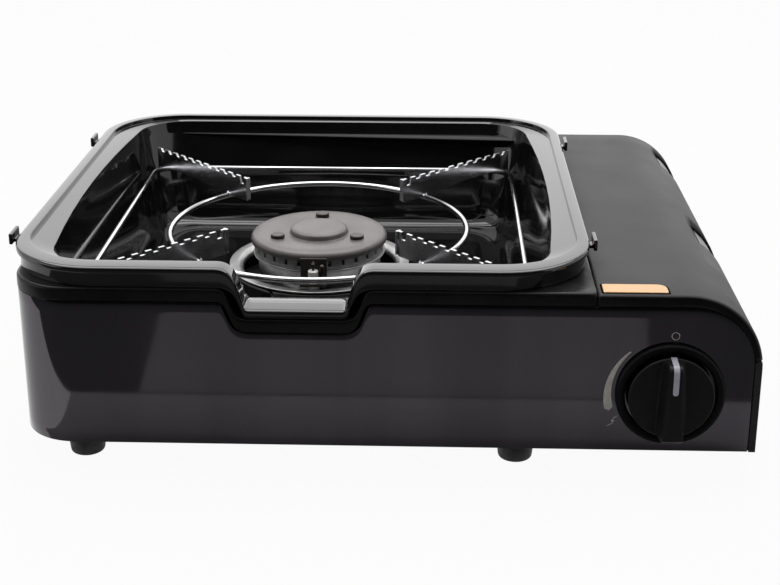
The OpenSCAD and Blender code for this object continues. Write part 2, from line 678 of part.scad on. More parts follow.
module gas_jet() color("goldenrod") place() difference() {
  union() {
    rod_x(mixing_end_x + jet_gap, burner_y, mixing_z, jet_r - 2, 4);
    rod_x(mixing_end_x + jet_gap + 4, burner_y, mixing_z, jet_r, jet_len - 4);
  }
  rod_x(mixing_end_x, burner_y, mixing_z, 0.4, jet_len + jet_gap + cut);
}
module gas_tube() color("peru") place() {
  start = [mixing_end_x + jet_gap + jet_len, burner_y, mixing_z];
  cord([start, [tube_x, burner_y, mixing_z], [tube_x, tube_y, mixing_z], [tube_x, tube_y, tube_z],
    [dial_x - block_w / 2, tube_y, tube_z]], tube_r);
}
module burner_stand() color("darkgray") place() difference() {
  union() {
    translate([burner_x - stand_half, burner_y - stand_d / 2, z0 + sheet])
      cube([mixing_end_x + jet_gap + jet_len - burner_x + stand_half, stand_d, stand_t]);
    translate([burner_x - burner_neck_r, burner_y - stand_d / 2, z0 + sheet])
      cube([2 * burner_neck_r, stand_d, burner_foot_z - z0 - sheet]);
    translate([mixing_end_x + jet_gap + 5, burner_y - 8, z0 + sheet]) cube([6, 16, mixing_z - z0 - sheet]);
  }
  for (p = stand_screws) translate([p[0], p[1], z0]) cylinder(d = screw_d + 2 * fit, h = 2 * stand_t + sheet);
  rod_x(mixing_end_x, burner_y, mixing_z, jet_r + fit, 40);
}
module burner_screws() color("silver") place() for (p = stand_screws)
  screw_down([p[0], p[1], z0 + sheet + stand_t], sheet + stand_t);

// Ignition and flame sensing, in front of the burner
module spark_shield() color([0.25, 0.25, 0.25]) place() translate([burner_x, burner_y, 0]) difference() {
  union() {
    translate([-spark_w / 2, -cap_d / 2 - 1.7, ring_bottom - 6]) cube([spark_w, 1.4, flame_ring_h + 7]);
    translate([-spark_w / 2, -electrode_r - 4, ring_bottom - 6])
      cube([spark_w, electrode_r - cap_d / 2 + 3, 1.5]);
    translate([-4, -cap_d / 2 - 1, ring_bottom - 6])
      cube([8, cap_d / 2 + 1 - ring_out_r + 2 - fit - 0.3, 1.5]);
  }
  translate([0, -electrode_r, ring_bottom - 8]) cylinder(r = 3 + fit, h = 6);
  translate([sensor_x - burner_x, -electrode_r, ring_bottom - 8]) cylinder(r = 1.5 + fit, h = 6);
}
module electrode_ceramic() color("white") place() translate([burner_x, electrode_y, electrode_z - 18]) {
  cylinder(r = 3, h = 18);
}
module electrode_pin() color("silver") place() cord([
  [burner_x, electrode_y, electrode_z], [burner_x, electrode_y, electrode_z + 3],
  [burner_x, electrode_y + 1.6, electrode_z + 4.5]], 0.7);
module thermocouple() color("peru") place() {
  translate([sensor_x, electrode_y, electrode_z - 24]) cylinder(r = 1.5, h = 26);
  translate([sensor_x, electrode_y, electrode_z + 2]) sphere(1.5);
}
module ignition_wire() color("firebrick") place() cord([
  [dial_x - 12, block_y + 4 + piezo_len, piezo_z], [dial_x - 12, spark_lane_y, piezo_z],
  [dial_x - 12, spark_lane_y, spark_lane_z], [burner_x, spark_lane_y, spark_lane_z],
  [burner_x, electrode_y, spark_lane_z], [burner_x, electrode_y, electrode_z - 18]], wire_d / 2);
module thermocouple_lead() color("peru") place() cord([
  [sensor_x, electrode_y, electrode_z - 24], [sensor_x, electrode_y, lead_lane_z],
  [sensor_x, lead_lane_y, lead_lane_z], [partition_x + 11, lead_lane_y, lead_lane_z],
  [partition_x + 11, lead_end_y, lead_lane_z], [dial_x - block_w / 2, lead_end_y, lead_lane_z]], wire_d / 2);

// Cartridge bay
module partition() color("gray") place() difference() {
  union() {
    translate([partition_x, 2 * sheet + fit + seam_gap, z0 + sheet])
      cube([sheet, body_d - 4 * sheet - 2 * fit - 2 * seam_gap, cover_top - 2 * sheet - z0]);
    for (y = cover_screw_ys) translate([partition_x - flange_w, y - 10, cover_top - 2 * sheet])
      cube([flange_w + fit, 20, sheet]);
  }
  rod_x(partition_x - cut, tube_y, tube_z, tube_r + 2, sheet + 2 * cut);
  rod_x(partition_x - cut, spark_lane_y, spark_lane_z, wire_d / 2 + 2, sheet + 2 * cut);
  rod_x(partition_x - cut, lead_lane_y, lead_lane_z, wire_d / 2 + 2, sheet + 2 * cut);
  for (y = cover_screw_ys) translate([partition_x - flange_w / 2, y, cover_top - 3 * sheet])
    cylinder(d = cover_screw_d + 2 * fit, h = 3 * sheet);
}
module cover_screws() color("silver") place() for (y = cover_screw_ys)
  translate([partition_x - flange_w / 2, y, cover_top - 2 * sheet]) {
    cylinder(d = cover_screw_d, h = 2 * sheet);
    translate([0, 0, -2]) cylinder(d = 2 * cover_screw_d, h = 2);
  }
module gas_regulator() color([0.55, 0.55, 0.56]) place() difference() {
  union() {
    translate([dial_x - block_w / 2, block_y, dial_axis_z - block_h / 2]) cube([block_w, block_d, block_h]);
    rod_y(bay_x, block_y + block_d, bay_z, 9, neck_len);
    rod_y(bay_x, block_y + block_d, bay_z, 3, nozzle_len);
  }
  rod_y(dial_x, block_y - cut, dial_axis_z, sleeve_r + run_clear, 28);
  for (side = [-1, 1])
    rod_y(dial_x + side * valve_screw_x, block_y - cut, dial_axis_z, valve_screw_r + fit, 12);
  rod_y(bay_x, block_y + block_d, bay_z, 1.2, nozzle_len + cut);
}
module regulator_screws() color("silver") place() for (side = [-1, 1]) {
  rod_y(dial_x + side * valve_screw_x, 0, dial_axis_z, valve_screw_r, 11);
  rod_y(dial_x + side * valve_screw_x, -bezel_floor, dial_axis_z, 3.4, bezel_floor);
}
module magnet_ring() color([0.2, 0.2, 0.2]) place() difference() {
  rod_y(bay_x, block_y + block_d, bay_z, 24, magnet_t);
  rod_y(bay_x, block_y + block_d - cut, bay_z, 14, magnet_t + 2 * cut);
}
module piezo_igniter() color("whitesmoke") place()
  rod_y(dial_x - 12, block_y + 4, piezo_z, piezo_r, piezo_len);
module cartridge_cradle() color("gray") place() {
  translate([bay_x - strip_half, cartridge_y + cradle_in, z0 + sheet])
    cube([2 * strip_half, cradle_span, 1.2]);
  for (y = [cradle_in, cradle_in + cradle_span - cradle_t]) upright(cartridge_y + y, cradle_t) difference() {
    translate([bay_x - saddle_half, z0 + sheet]) square([2 * saddle_half, saddle_h]);
    translate([bay_x, bay_z]) circle(cartridge_d / 2 + cartridge_play);
  }
}
module cartridge_stop() color("gray") place() {
  translate([bay_x - stop_w / 2, cartridge_y + cartridge_l + 2, z0 + sheet]) {
    cube([stop_w, stop_t, stop_w]);
    cube([stop_w, stop_foot, stop_t]);
  }
}

// Dial
module push_sleeve() color("lightgray") place() difference() {
  rod_y(dial_x, sleeve_y, dial_axis_z, sleeve_r, sleeve_len);
  rod_y(dial_x, sleeve_y - cut, dial_axis_z, spindle_d / 2 + run_clear, sleeve_len + 2 * cut);
}
module valve_spindle() color("silver") place()
  rod_y(dial_x, dial_back - dial_disc_t + 1, dial_axis_z, spindle_d / 2,
    sleeve_y + sleeve_len + 6 - dial_back + dial_disc_t);
module control_dial() color([0.07, 0.07, 0.075]) place() difference() {
  union() {
    rod_y(dial_x, dial_back - dial_disc_t, dial_axis_z, dial_d / 2, dial_disc_t);
    intersection() {
      upright(-grip_out, grip_out + dial_back) translate([dial_x, dial_axis_z]) polygon([
        [-grip_w / 2, -dial_d / 2], [grip_w / 2, -dial_d / 2],
        [grip_top_w / 2, dial_d / 2], [-grip_top_w / 2, dial_d / 2]]);
      rod_y(dial_x, -grip_out, dial_axis_z, grip_r, grip_out);
    }
  }
  rod_y(dial_x, dial_back - dial_disc_t + 1 - fit, dial_axis_z, spindle_d / 2 + wire_fit, dial_disc_t);
  translate([dial_x - pointer_w / 2 - fit, -grip_out - cut, dial_axis_z + pointer_low - fit])
    cube([pointer_w + 2 * fit, pointer_in + fit + cut, dial_d]);
  translate([dial_x - pointer_w / 2 - fit, -grip_out - cut, dial_axis_z + grip_r - pointer_in - fit])
    cube([pointer_w + 2 * fit, grip_out - pointer_back + fit + cut, pointer_in + dial_d]);
}
module dial_pointer() color("white") place()
  translate([dial_x - pointer_w / 2, -grip_out - pointer_proud, dial_axis_z + pointer_low]) {
    cube([pointer_w, pointer_in + pointer_proud, grip_r + pointer_proud - pointer_low]);
    translate([0, 0, grip_r - pointer_in - pointer_low])
      cube([pointer_w, grip_out + pointer_proud - pointer_back, pointer_in + pointer_proud]);
  }
module dial_bezel() color([0.1, 0.1, 0.1]) place() difference() {
  translate([dial_x, 0, dial_axis_z]) rotate([90, 0, 0]) rotate_extrude() polygon([
    [spindle_d / 2 + dial_play, 0], [bezel_d / 2, 0], [bezel_d / 2, bezel_h - 1.4],
    [bezel_d / 2 - 1.4, bezel_h],
    [dial_d / 2 + dial_play + 1.2, bezel_h], [dial_d / 2 + dial_play, bezel_h - 1.2],
    [dial_d / 2 + dial_play, bezel_floor], [spindle_d / 2 + dial_play, bezel_floor]]);
  for (side = [-1, 1])
    rod_y(dial_x + side * valve_screw_x, -bezel_floor - cut, dial_axis_z, 3.4 + fit, bezel_floor + 2 * cut);
}

// Feet
module rubber_feet() color([0.04, 0.04, 0.04]) place()
  for (x = [foot_left_x, foot_right_x], y = [foot_inset_y, body_d - foot_inset_y]) translate([x, y, 0])
    rotate_extrude() polygon([
      [screw_d / 2 + fit, foot_seat], [screw_d / 2 + fit, foot_h], [foot_d / 2, foot_h],
      [foot_tip_d / 2 + 0.4, 0.8], [foot_tip_d / 2 - 0.4, 0], [screw_head_d / 2 + 0.5, 0],
      [screw_head_d / 2 + 0.5, foot_seat]]);
module foot_screws() color("silver") place()
  for (x = [foot_left_x, foot_right_x], y = [foot_inset_y, body_d - foot_inset_y])
    translate([x, y, foot_seat]) {
    translate([0, 0, -screw_head_h]) cylinder(d = screw_head_d, h = screw_head_h);
    cylinder(d = screw_d, h = foot_h - foot_seat + sheet + 3);
  }

// Pan support
module frame_wire() color([0.85, 0.85, 0.86]) place() translate([burner_x, burner_y, wire_axis_z])
  for (turn = [0, 90, 180, 270]) rotate(turn) {
    rod_x(-frame_half + frame_r, -frame_half, 0, frame_wire_d / 2, 2 * (frame_half - frame_r));
    translate([frame_half - frame_r, -frame_half + frame_r, 0]) rotate(-90)
      rotate_extrude(angle = 90) translate([frame_r, 0]) circle(d = frame_wire_d);
  }
module ring_wire() color([0.85, 0.85, 0.86]) place() translate([burner_x, burner_y, wire_axis_z])
  rotate_extrude($fn = 120) translate([ring_r, 0]) circle(d = ring_wire_d);
// One bracket: stepped along its top, drawn in below, with a small bent tab at its inner end
module pan_bracket(turn) color([0.8, 0.8, 0.81]) place() translate([burner_x, burner_y, wire_axis_z])
  rotate(turn) {
  first = bracket_in + tab_len + dip_w;
  tooth = (bracket_end - first - 4) / bracket_teeth;
  difference() {
    upright(-bracket_t / 2, bracket_t) polygon(concat(
      [[bracket_in, bracket_low], [bracket_in, bracket_rise], [bracket_in + tab_len, bracket_rise],
        [bracket_in + tab_len, bracket_rise - dip_h], [first - 1, bracket_rise - dip_h]],
      [for (i = [0 : bracket_teeth - 1]) let (r = first + i * tooth)
        each [[r, bracket_rise], [r + 0.45 * tooth, bracket_rise], [r + 0.5 * tooth, bracket_rise - tooth_h],
          [r + 0.85 * tooth, bracket_rise - tooth_h]]],
      [[first + bracket_teeth * tooth, bracket_rise], [bracket_end, bracket_rise], [bracket_end, bracket_low],
        [bracket_end - 8, bracket_low], [bracket_end - 14, bracket_waist], [ring_r + 36, bracket_waist],
        [ring_r + 8, bracket_low]]));
    rod_y(ring_r, -bracket_t, 0, ring_wire_d / 2 + wire_fit, 2 * bracket_t);
    rod_y(bracket_end - 3, -bracket_t, 0, frame_wire_d / 2 + wire_fit, 2 * bracket_t);
  }
  translate([bracket_in - bracket_t, -tab_w / 2, 0])
    cube([bracket_t + fit, tab_w, bracket_rise]);
}
module bracket_front_left() pan_bracket(225);
module bracket_front_right() pan_bracket(315);
module bracket_rear_right() pan_bracket(45);
module bracket_rear_left() pan_bracket(135);

base_pan();
front_panel();
side_panel();
back_wall();
top_cover();
cartridge_lid();
lid_badge();
hinge_brackets();
hinge_pins();
drip_bowl();
rim_clips();
reflector_ring();
burner_body();
flame_ring();
burner_cap();
cap_rivets();
mixing_tube();
gas_jet();
gas_tube();
burner_stand();
burner_screws();
spark_shield();
electrode_ceramic();
electrode_pin();
thermocouple();
ignition_wire();
thermocouple_lead();
partition();
gas_regulator();
regulator_screws();
magnet_ring();
push_sleeve();
valve_spindle();
control_dial();
dial_pointer();
dial_bezel();
piezo_igniter();
cartridge_cradle();
cartridge_stop();
rubber_feet();
foot_screws();
cover_screws();
frame_wire();
ring_wire();
bracket_front_left();
bracket_front_right();
bracket_rear_right();
bracket_rear_left();
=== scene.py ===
"""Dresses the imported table-top gas stove and shows it on a pale floor."""

import math

import bmesh
import bpy
import numpy as np
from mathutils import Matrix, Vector


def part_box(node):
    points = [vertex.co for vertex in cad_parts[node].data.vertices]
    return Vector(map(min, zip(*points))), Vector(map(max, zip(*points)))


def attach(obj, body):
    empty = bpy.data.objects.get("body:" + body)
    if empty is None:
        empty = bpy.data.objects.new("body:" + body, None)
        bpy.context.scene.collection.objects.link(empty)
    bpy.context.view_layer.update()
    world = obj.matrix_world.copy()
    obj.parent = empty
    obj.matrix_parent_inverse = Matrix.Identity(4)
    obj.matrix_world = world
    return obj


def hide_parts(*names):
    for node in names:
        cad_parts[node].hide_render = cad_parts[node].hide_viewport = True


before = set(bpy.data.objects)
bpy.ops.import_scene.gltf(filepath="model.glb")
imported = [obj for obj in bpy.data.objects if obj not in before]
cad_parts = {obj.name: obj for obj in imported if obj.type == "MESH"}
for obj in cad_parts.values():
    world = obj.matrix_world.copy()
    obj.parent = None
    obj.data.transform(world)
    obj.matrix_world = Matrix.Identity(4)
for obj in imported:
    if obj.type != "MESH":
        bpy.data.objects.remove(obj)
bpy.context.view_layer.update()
scene = bpy.context.scene

# The view: a camera in front of the stove and above it, nearly square to the front panel.
# Its place and lens come from the panel's edges, the burner cap, the dial and the rim in the photograph.
camera = bpy.data.objects.new("camera", bpy.data.cameras.new("camera"))
camera.location = (0.02773, -0.79914, 0.35643)
camera.rotation_euler = (math.radians(70.9037), 0, math.radians(1.8715))
camera.data.sensor_width = 36
camera.data.lens = 66.6554
camera.data.shift_y = -0.08013
camera.data.clip_start = 0.01
scene.collection.objects.link(camera)
scene.camera = camera
scene.view_settings.view_transform = "Standard"

# Front panel: one steel sheet with a dark metallic gloss film that mirrors the floor.
# It is bent round the left side, and its top edge dips under the rim's front notch.
MM = 0.001


def noise_field(tree, scale, stretch):
    """Noise on the piece's own coordinates, drawn out along the axes with a small stretch number."""
    place = tree.nodes.new("ShaderNodeTexCoord")
    spread = tree.nodes.new("ShaderNodeMapping")
    spread.inputs["Scale"].default_value = stretch
    noise = tree.nodes.new("ShaderNodeTexNoise")
    noise.inputs["Scale"].default_value = scale
    noise.inputs["Detail"].default_value = 3
    tree.links.new(place.outputs["Object"], spread.inputs["Vector"])
    tree.links.new(spread.outputs["Vector"], noise.inputs["Vector"])
    return noise.outputs["Fac"]


def surface(name, plain, tint=None, polish=None, relief=None, stretch=(1, 1, 1)):
    """A finish: plain numbers for the shader, then noise for its colour, roughness and bump.

    tint is (scale, darker colour, lighter colour), polish is (scale, low, high) and relief is
    (scale, strength, depth in metres).
    """
    material = bpy.data.materials.new(name)
    material.use_nodes = True
    tree = material.node_tree
    shader = tree.nodes["Principled BSDF"]
    for socket, value in plain.items():
        shader.inputs[socket].default_value = value
    if tint:
        ramp = tree.nodes.new("ShaderNodeValToRGB")
        for end, position, colour in zip(ramp.color_ramp.elements, (0.36, 0.64), tint[1:]):
            end.position = position
            end.color = (*colour, 1)
        tree.links.new(noise_field(tree, tint[0], stretch), ramp.inputs["Fac"])
        tree.links.new(ramp.outputs["Color"], shader.inputs["Base Color"])
    if polish:
        span = tree.nodes.new("ShaderNodeMapRange")
        span.inputs["From Min"].default_value = 0.3
        span.inputs["From Max"].default_value = 0.7
        span.inputs["To Min"].default_value = polish[1]
        span.inputs["To Max"].default_value = polish[2]
        tree.links.new(noise_field(tree, polish[0], stretch), span.inputs["Value"])
        tree.links.new(span.outputs["Result"], shader.inputs["Roughness"])
    if relief:
        bump = tree.nodes.new("ShaderNodeBump")
        bump.inputs["Strength"].default_value = relief[1]
        bump.inputs["Distance"].default_value = relief[2]
        tree.links.new(noise_field(tree, relief[0], stretch), bump.inputs["Height"])
        tree.links.new(bump.outputs["Normal"], shader.inputs["Normal"])
    return material


sharp_edge = math.radians(35)


def smooth(piece):
    """Shades a piece smooth, apart from its sharp edges."""
    for face in piece.data.polygons:
        face.use_smooth = True
    piece.data.set_sharp_from_angle(angle=sharp_edge)


def fit(piece, body, slot, *nodes):
    """Puts a piece on its body in place of CAD nodes. The slot is not used."""
    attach(piece, body)
    if nodes:
        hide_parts(*nodes)


gloss_film = surface(
    "dark_gloss_film",
    {"Metallic": 1.0},
    tint=(26, (0.088, 0.083, 0.090), (0.104, 0.098, 0.106)),
    polish=(60, 0.06, 0.09),
    stretch=(1, 1, 0.08),
)
panel_low, panel_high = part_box("front_panel")
bowl_low, bowl_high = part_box("drip_bowl")
axis_x = (bowl_low.x + bowl_high.x) / 2
axis_y = (bowl_low.y + bowl_high.y) / 2
body_corner_r = 30 * MM
sheet_wall = 1 * MM
bezel_low, bezel_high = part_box("dial_bezel")
valve_x, valve_z = (bezel_low.x + bezel_high.x) / 2, (bezel_low.z + bezel_high.z) / 2
valve_hole_r = 15 * MM


def eased(points, cuts, steps=5):
    """A path with its inner corners rounded, each from its cut's distance before to after it."""
    points = [np.array(p, dtype=float) for p in points]
    path = [points[0]]
    for before, here, after, cut in zip(points, points[1:], points[2:], cuts):
        start = here + (before - here) * min(0.5, cut / np.linalg.norm(before - here))
        stop = here + (after - here) * min(0.5, cut / np.linalg.norm(after - here))
        for k in range(steps + 1):
            t = k / steps
            path.append((1 - t) ** 2 * start + 2 * t * (1 - t) * here + t * t * stop)
    path.append(points[-1])
    return path


notch_depth, notch_reach = 18, 80
sheet_notch_drop = 16 * MM


def notch_line(half_bottom, half_top, bottom_cut, top_cut):
    """The front notch's outline from its middle outwards: places in mm and shares of its depth."""
    corners = [(0, notch_depth), (half_bottom, notch_depth), (half_top, 0), (notch_reach, 0)]
    path = eased(corners, [bottom_cut, top_cut], 8)
    return [x for x, z in path], [z / notch_depth for x, z in path]


def dip(x, line):
    """Share of the notch's depth at a place across it."""
    return float(np.interp(abs(x - axis_x) / MM, *line))


def woven(name, rows, material, closed=True, skip=None):
    """A mesh of quads through equal rows of points, with doubles merged."""
    count = len(rows[0])
    faces = []
    for j in range(len(rows) - 1):
        for i in range(count if closed else count - 1):
            if skip and skip(j, i):
                continue
            k = (i + 1) % count
            faces.append((j * count + i, j * count + k, (j + 1) * count + k, (j + 1) * count + i))
    mesh = bpy.data.meshes.new(name)
    mesh.from_pydata([tuple(p) for row in rows for p in row], [], faces)
    work = bmesh.new()
    work.from_mesh(mesh)
    bmesh.ops.remove_doubles(work, verts=work.verts, dist=1e-6)
    bmesh.ops.dissolve_degenerate(work, edges=work.edges, dist=1e-6)
    loose = [v for v in work.verts if not v.link_faces]
    bmesh.ops.delete(work, geom=loose, context="VERTS")
    work.to_mesh(mesh)
    work.free()
    mesh.materials.append(material)
    piece = bpy.data.objects.new(name, mesh)
    scene.collection.objects.link(piece)
    smooth(piece)
    return piece


def thicken(piece, wall):
    """Gives a sheet its wall, on the side away from its faces."""
    wall_maker = piece.modifiers.new("wall", "SOLIDIFY")
    wall_maker.thickness = wall
    wall_maker.offset = -1
    wall_maker.use_even_offset = True


def round_edges(piece, width, angle):
    """Rounds a piece's edges that are sharper than the angle, and returns the modifier."""
    bevel = piece.modifiers.new("rounded_edges", "BEVEL")
    bevel.width = width
    bevel.segments = 2
    bevel.limit_method = "ANGLE"
    bevel.angle_limit = math.radians(angle)
    return bevel


def quarter(cx, cy, r, start, count):
    """Points on a quarter circle, anticlockwise from the start angle."""
    turns = [math.radians(start + 90 * k / count) for k in range(count + 1)]
    return [(cx + r * math.cos(a), cy + r * math.sin(a)) for a in turns]


notch_xs = [axis_x + MM * x for x in (*range(-45, -18), -12, -4, 4, 12, *range(19, 46))]
panel_notch = notch_line(31.0, 37.2, 7.5, 2.0)
edge_r = 31.5 * MM
edge_x = panel_high.x - edge_r


def panel_top(x, y):
    """Height of the panel's upper edge, which dips at the notch and is rounded at the right."""
    if x > edge_x:
        return panel_high.z - edge_r + math.sqrt(max(edge_r ** 2 - (x - edge_x) ** 2, 0))
    return panel_high.z - (sheet_notch_drop * dip(x, panel_notch) if y < axis_y else 0)


panel_line = quarter(panel_low.x + body_corner_r, panel_high.y - body_corner_r, body_corner_r, 90, 24)
side_length = panel_high.y - panel_low.y - 2 * body_corner_r
panel_line += [(panel_low.x, panel_high.y - body_corner_r - side_length * k / 8) for k in range(1, 8)]
panel_line += quarter(panel_low.x + body_corner_r, panel_low.y + body_corner_r, body_corner_r, 180, 24)
panel_line += [(x, panel_low.y) for x in notch_xs]
panel_line += [(notch_xs[-1] + (edge_x - notch_xs[-1]) * k / 24, panel_low.y) for k in range(1, 25)]
panel_line += [(edge_x + edge_r * math.sin(math.radians(3 * k)), panel_low.y) for k in range(1, 31)]
panel_bands = 12
panel_rows = []
for k in range(panel_bands + 1):
    panel_rows.append([
        (x, y, panel_low.z + (panel_top(x, y) - panel_low.z) * k / panel_bands) for x, y in panel_line])


def at_valve(j, i):
    """Whether a face of the panel falls in the hole for the valve, behind the dial."""
    low, high = panel_rows[j][i], panel_rows[j + 1][i + 1]
    return math.hypot((low[0] + high[0]) / 2 - valve_x, (low[2] + high[2]) / 2 - valve_z) < valve_hole_r


front_panel = woven("panel_sheet", panel_rows, gloss_film, closed=False, skip=at_valve)
thicken(front_panel, sheet_wall)
round_edges(front_panel, 0.4 * MM, 60)
fit(front_panel, "base", "dark_steel", "front_panel")

# Base pan, back wall and side panel: pressed steel sheet, spot welded at the base pan's upturned edge.
# The base pan and the back wall have a plain black coat, and the side panel has the lid's satin paint.


def softened(node, edge, material):
    """A copy of a CAD piece with its triangles joined into faces and its edges rounded."""
    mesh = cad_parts[node].data.copy()
    if "custom_normal" in mesh.attributes:
        mesh.attributes.remove(mesh.attributes["custom_normal"])
    work = bmesh.new()
    work.from_mesh(mesh)
    bmesh.ops.remove_doubles(work, verts=work.verts, dist=2e-6)
    bmesh.ops.dissolve_limit(work, angle_limit=math.radians(0.3), verts=work.verts, edges=work.edges)
    work.to_mesh(mesh)
    work.free()
    mesh.materials.clear()
    mesh.materials.append(material)
    piece = bpy.data.objects.new(node + "_dressed", mesh)
    scene.collection.objects.link(piece)
    smooth(piece)
    round_edges(piece, edge, 40).harden_normals = True
    return piece


def dress(body, *rows):
    """Softens CAD pieces and fits them: each row has a node, its edge in mm, its slot and its finish."""
    for node, edge, slot, material in rows:
        fit(softened(node, edge * MM, material), body, slot, node)


black_coat = surface(
    "black_sheet_coat",
    {},
    tint=(60, (0.012, 0.012, 0.013), (0.022, 0.021, 0.022)),
    polish=(140, 0.38, 0.55),
    relief=(2200, 0.1, 0.00005),
)
dress("base", ("base_pan", 0.3, "black_sheet", black_coat), ("back_wall", 0.3, "black_sheet", black_coat))
lid_paint = surface(
    "satin_grey_paint",
    {"IOR": 1.4, "Specular IOR Level": 0.12},
    tint=(20, (0.030, 0.029, 0.0295), (0.034, 0.0329, 0.0334)),
    polish=(40, 0.46, 0.52),
    relief=(2600, 0.03, 0.00004),
)
dress("base", ("side_panel", 0.3, "lid_paint", lid_paint))

# Top cover: a painted pressing with a rolled lip, which lies on the panel's top edge.
# Its front edge dips under the rim's notch, and the bowl hangs in its opening.
cover_low, cover_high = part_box("top_cover")
rim_half_w = (bowl_high.x - bowl_low.x) / 2
rim_half_d = (bowl_high.y - bowl_low.y) / 2
opening_inset, opening_r = 10 * MM, 38 * MM


def cover_outline(inset):
    """The cover's edge drawn in, anticlockwise from the front left corner."""
    left, right = cover_low.x + inset, cover_high.x - min(inset, 0.5 * MM)
    front, back = cover_low.y + inset, cover_high.y - inset
    r = max(body_corner_r - inset, 1 * MM)
    small = 2 * MM
    line = quarter(left + r, front + r, r, 180, 14)
    line += [(x, front) for x in notch_xs]
    line += quarter(right - small, front + small, small, 270, 4)
    line += [(right, front + small + (back - front - 2 * small) * k / 24) for k in range(1, 24)]
    line += quarter(right - small, back - small, small, 0, 4)
    line += quarter(left + r, back - r, r, 90, 14)
    return line


def inside_opening(x, y):
    """Whether a point lies in the cover's opening for the bowl."""
    dx = max(abs(x - axis_x) - (rim_half_w - opening_inset - opening_r), 0)
    dy = max(abs(y - axis_y) - (rim_half_d - opening_inset - opening_r), 0)
    return math.hypot(dx, dy) < opening_r


def opening_edge(x, y):
    """Where the line from a point to the burner's axis meets the opening's edge."""
    near, far = 0.0, 1.0
    for _ in range(30):
        middle = (near + far) / 2
        if inside_opening(x + (axis_x - x) * middle, y + (axis_y - y) * middle):
            far = middle
        else:
            near = middle
    return x + (axis_x - x) * near, y + (axis_y - y) * near


cover_edge_z = panel_high.z + 0.5 * MM
cover_notch = notch_line(29.5, 35.5, 6.0, 4.0)
cover_profile = eased(
    [(0.9 * MM, cover_edge_z), (0, cover_edge_z), (0, cover_high.z), (6 * MM, cover_high.z)],
    [0.4 * MM, 2.2 * MM],
    7,
)
cover_rows = []
for inset, z in cover_profile:
    cover_rows.append([
        (x, y, z - sheet_notch_drop * (dip(x, cover_notch) if y < axis_y else 0))
        for x, y in cover_outline(inset)])
cover_rows.append([(*opening_edge(x, y), z) for x, y, z in cover_rows[-1]])
satin_paint = surface(
    "satin_black_paint",
    {"Specular IOR Level": 0.12},
    tint=(45, (0.005, 0.005, 0.005), (0.008, 0.0078, 0.0078)),
    polish=(120, 0.26, 0.34),
    relief=(900, 0.02, 0.00005),
)
top_cover = woven("top_cover_pressing", cover_rows, satin_paint)
thicken(top_cover, sheet_wall)
fit(top_cover, "base", "cover_paint", "top_cover")

# Drip bowl: a deep-drawn steel bowl in gloss black enamel, with a rolled rim, a flat shelf inside it,
# a dip at the front and a raised collar round the burner. It hangs by its rim over the cover.
# Each row, in mm: half width, half depth, corner, bow of the sides, height, notch drop, front inset, notch inset.
bowl_path = [
    (144.6, 147.0, 44.0, 0, 97.9, 16, 0, 0),
    (144.8, 147.2, 44.2, 0, 96.6, 16, 0, 0),
    (146.8, 149.2, 46.2, 0, 96.6, 16, 0, 0),
    (146.6, 149.0, 46.0, 0, 98.6, 16.6, 0, 0),
    (146.6, 149.0, 46.0, 0, 104.2, 21.4, 0, 0),
    (148.6, 151.0, 48.0, 0, 104.6, 21.8, 0, 0),
    (148.6, 151.0, 48.0, 0, 107.5, 21.8, 0, 0),
    (142.6, 145.0, 42.0, 0, 107.5, 21.8, 5.4, 0),
    (142.3, 144.7, 41.7, 0, 105.0, 19.4, 5.4, 0.4),
    (128.2, 141.4, 30, 5.5, 104.4, 18.9, 3.4, 5.2),
    (127.0, 140.0, 29, 5.2, 98.6, 19, 3.0, 5.0),
    (124.0, 128.5, 28, 2.0, 78, 4, 0, 0),
    (117.5, 122.5, 26, 0, 44, 0, 0, 0),
    (111.5, 116.5, 22, 0, 38, 0, 0, 0),
    (92, 96, 40, 0, 38, 0, 0, 0),
]
bowl_cuts = [0.6, 0.9, 0.9, 1.0, 0.4, 2.4, 0.5, 0.4, 0.5, 2.0, 9.0, 9.0, 6.0]
bowl_notch = notch_line(25.3, 31.2, 2.5, 8.0)
enamelled_wall = 1.1 * MM
notch_side = 45


def bowl_outline(half_w, half_d, r, bulge, front_in):
    """A rounded rectangle with bowed left and right sides, anticlockwise from the front left corner."""
    flat_w, flat_d, flat_f = half_w - r, half_d - r, half_d - front_in - r
    spread = [k / 8 for k in range(1, 8)]
    line = quarter(-flat_w, -flat_f, r, 180, 14)
    front = [-flat_w + (flat_w - notch_side) * k / 4 for k in (1, 2, 3)]
    front += [(x - axis_x) / MM for x in notch_xs]
    front += [flat_w - (flat_w - notch_side) * k / 4 for k in (3, 2, 1)]
    line += [(x, -flat_f - r) for x in front]
    line += quarter(flat_w, -flat_f, r, 270, 14)
    line += [(half_w + bulge * 4 * s * (1 - s), -flat_f + (flat_d + flat_f) * s) for s in spread]
    line += quarter(flat_w, flat_d, r, 0, 14)
    line += [(flat_w * (1 - 2 * s), half_d) for s in spread]
    line += quarter(-flat_w, flat_d, r, 90, 14)
    line += [(-half_w - bulge * 4 * s * (1 - s), flat_d - (flat_d + flat_f) * s) for s in spread]
    return line


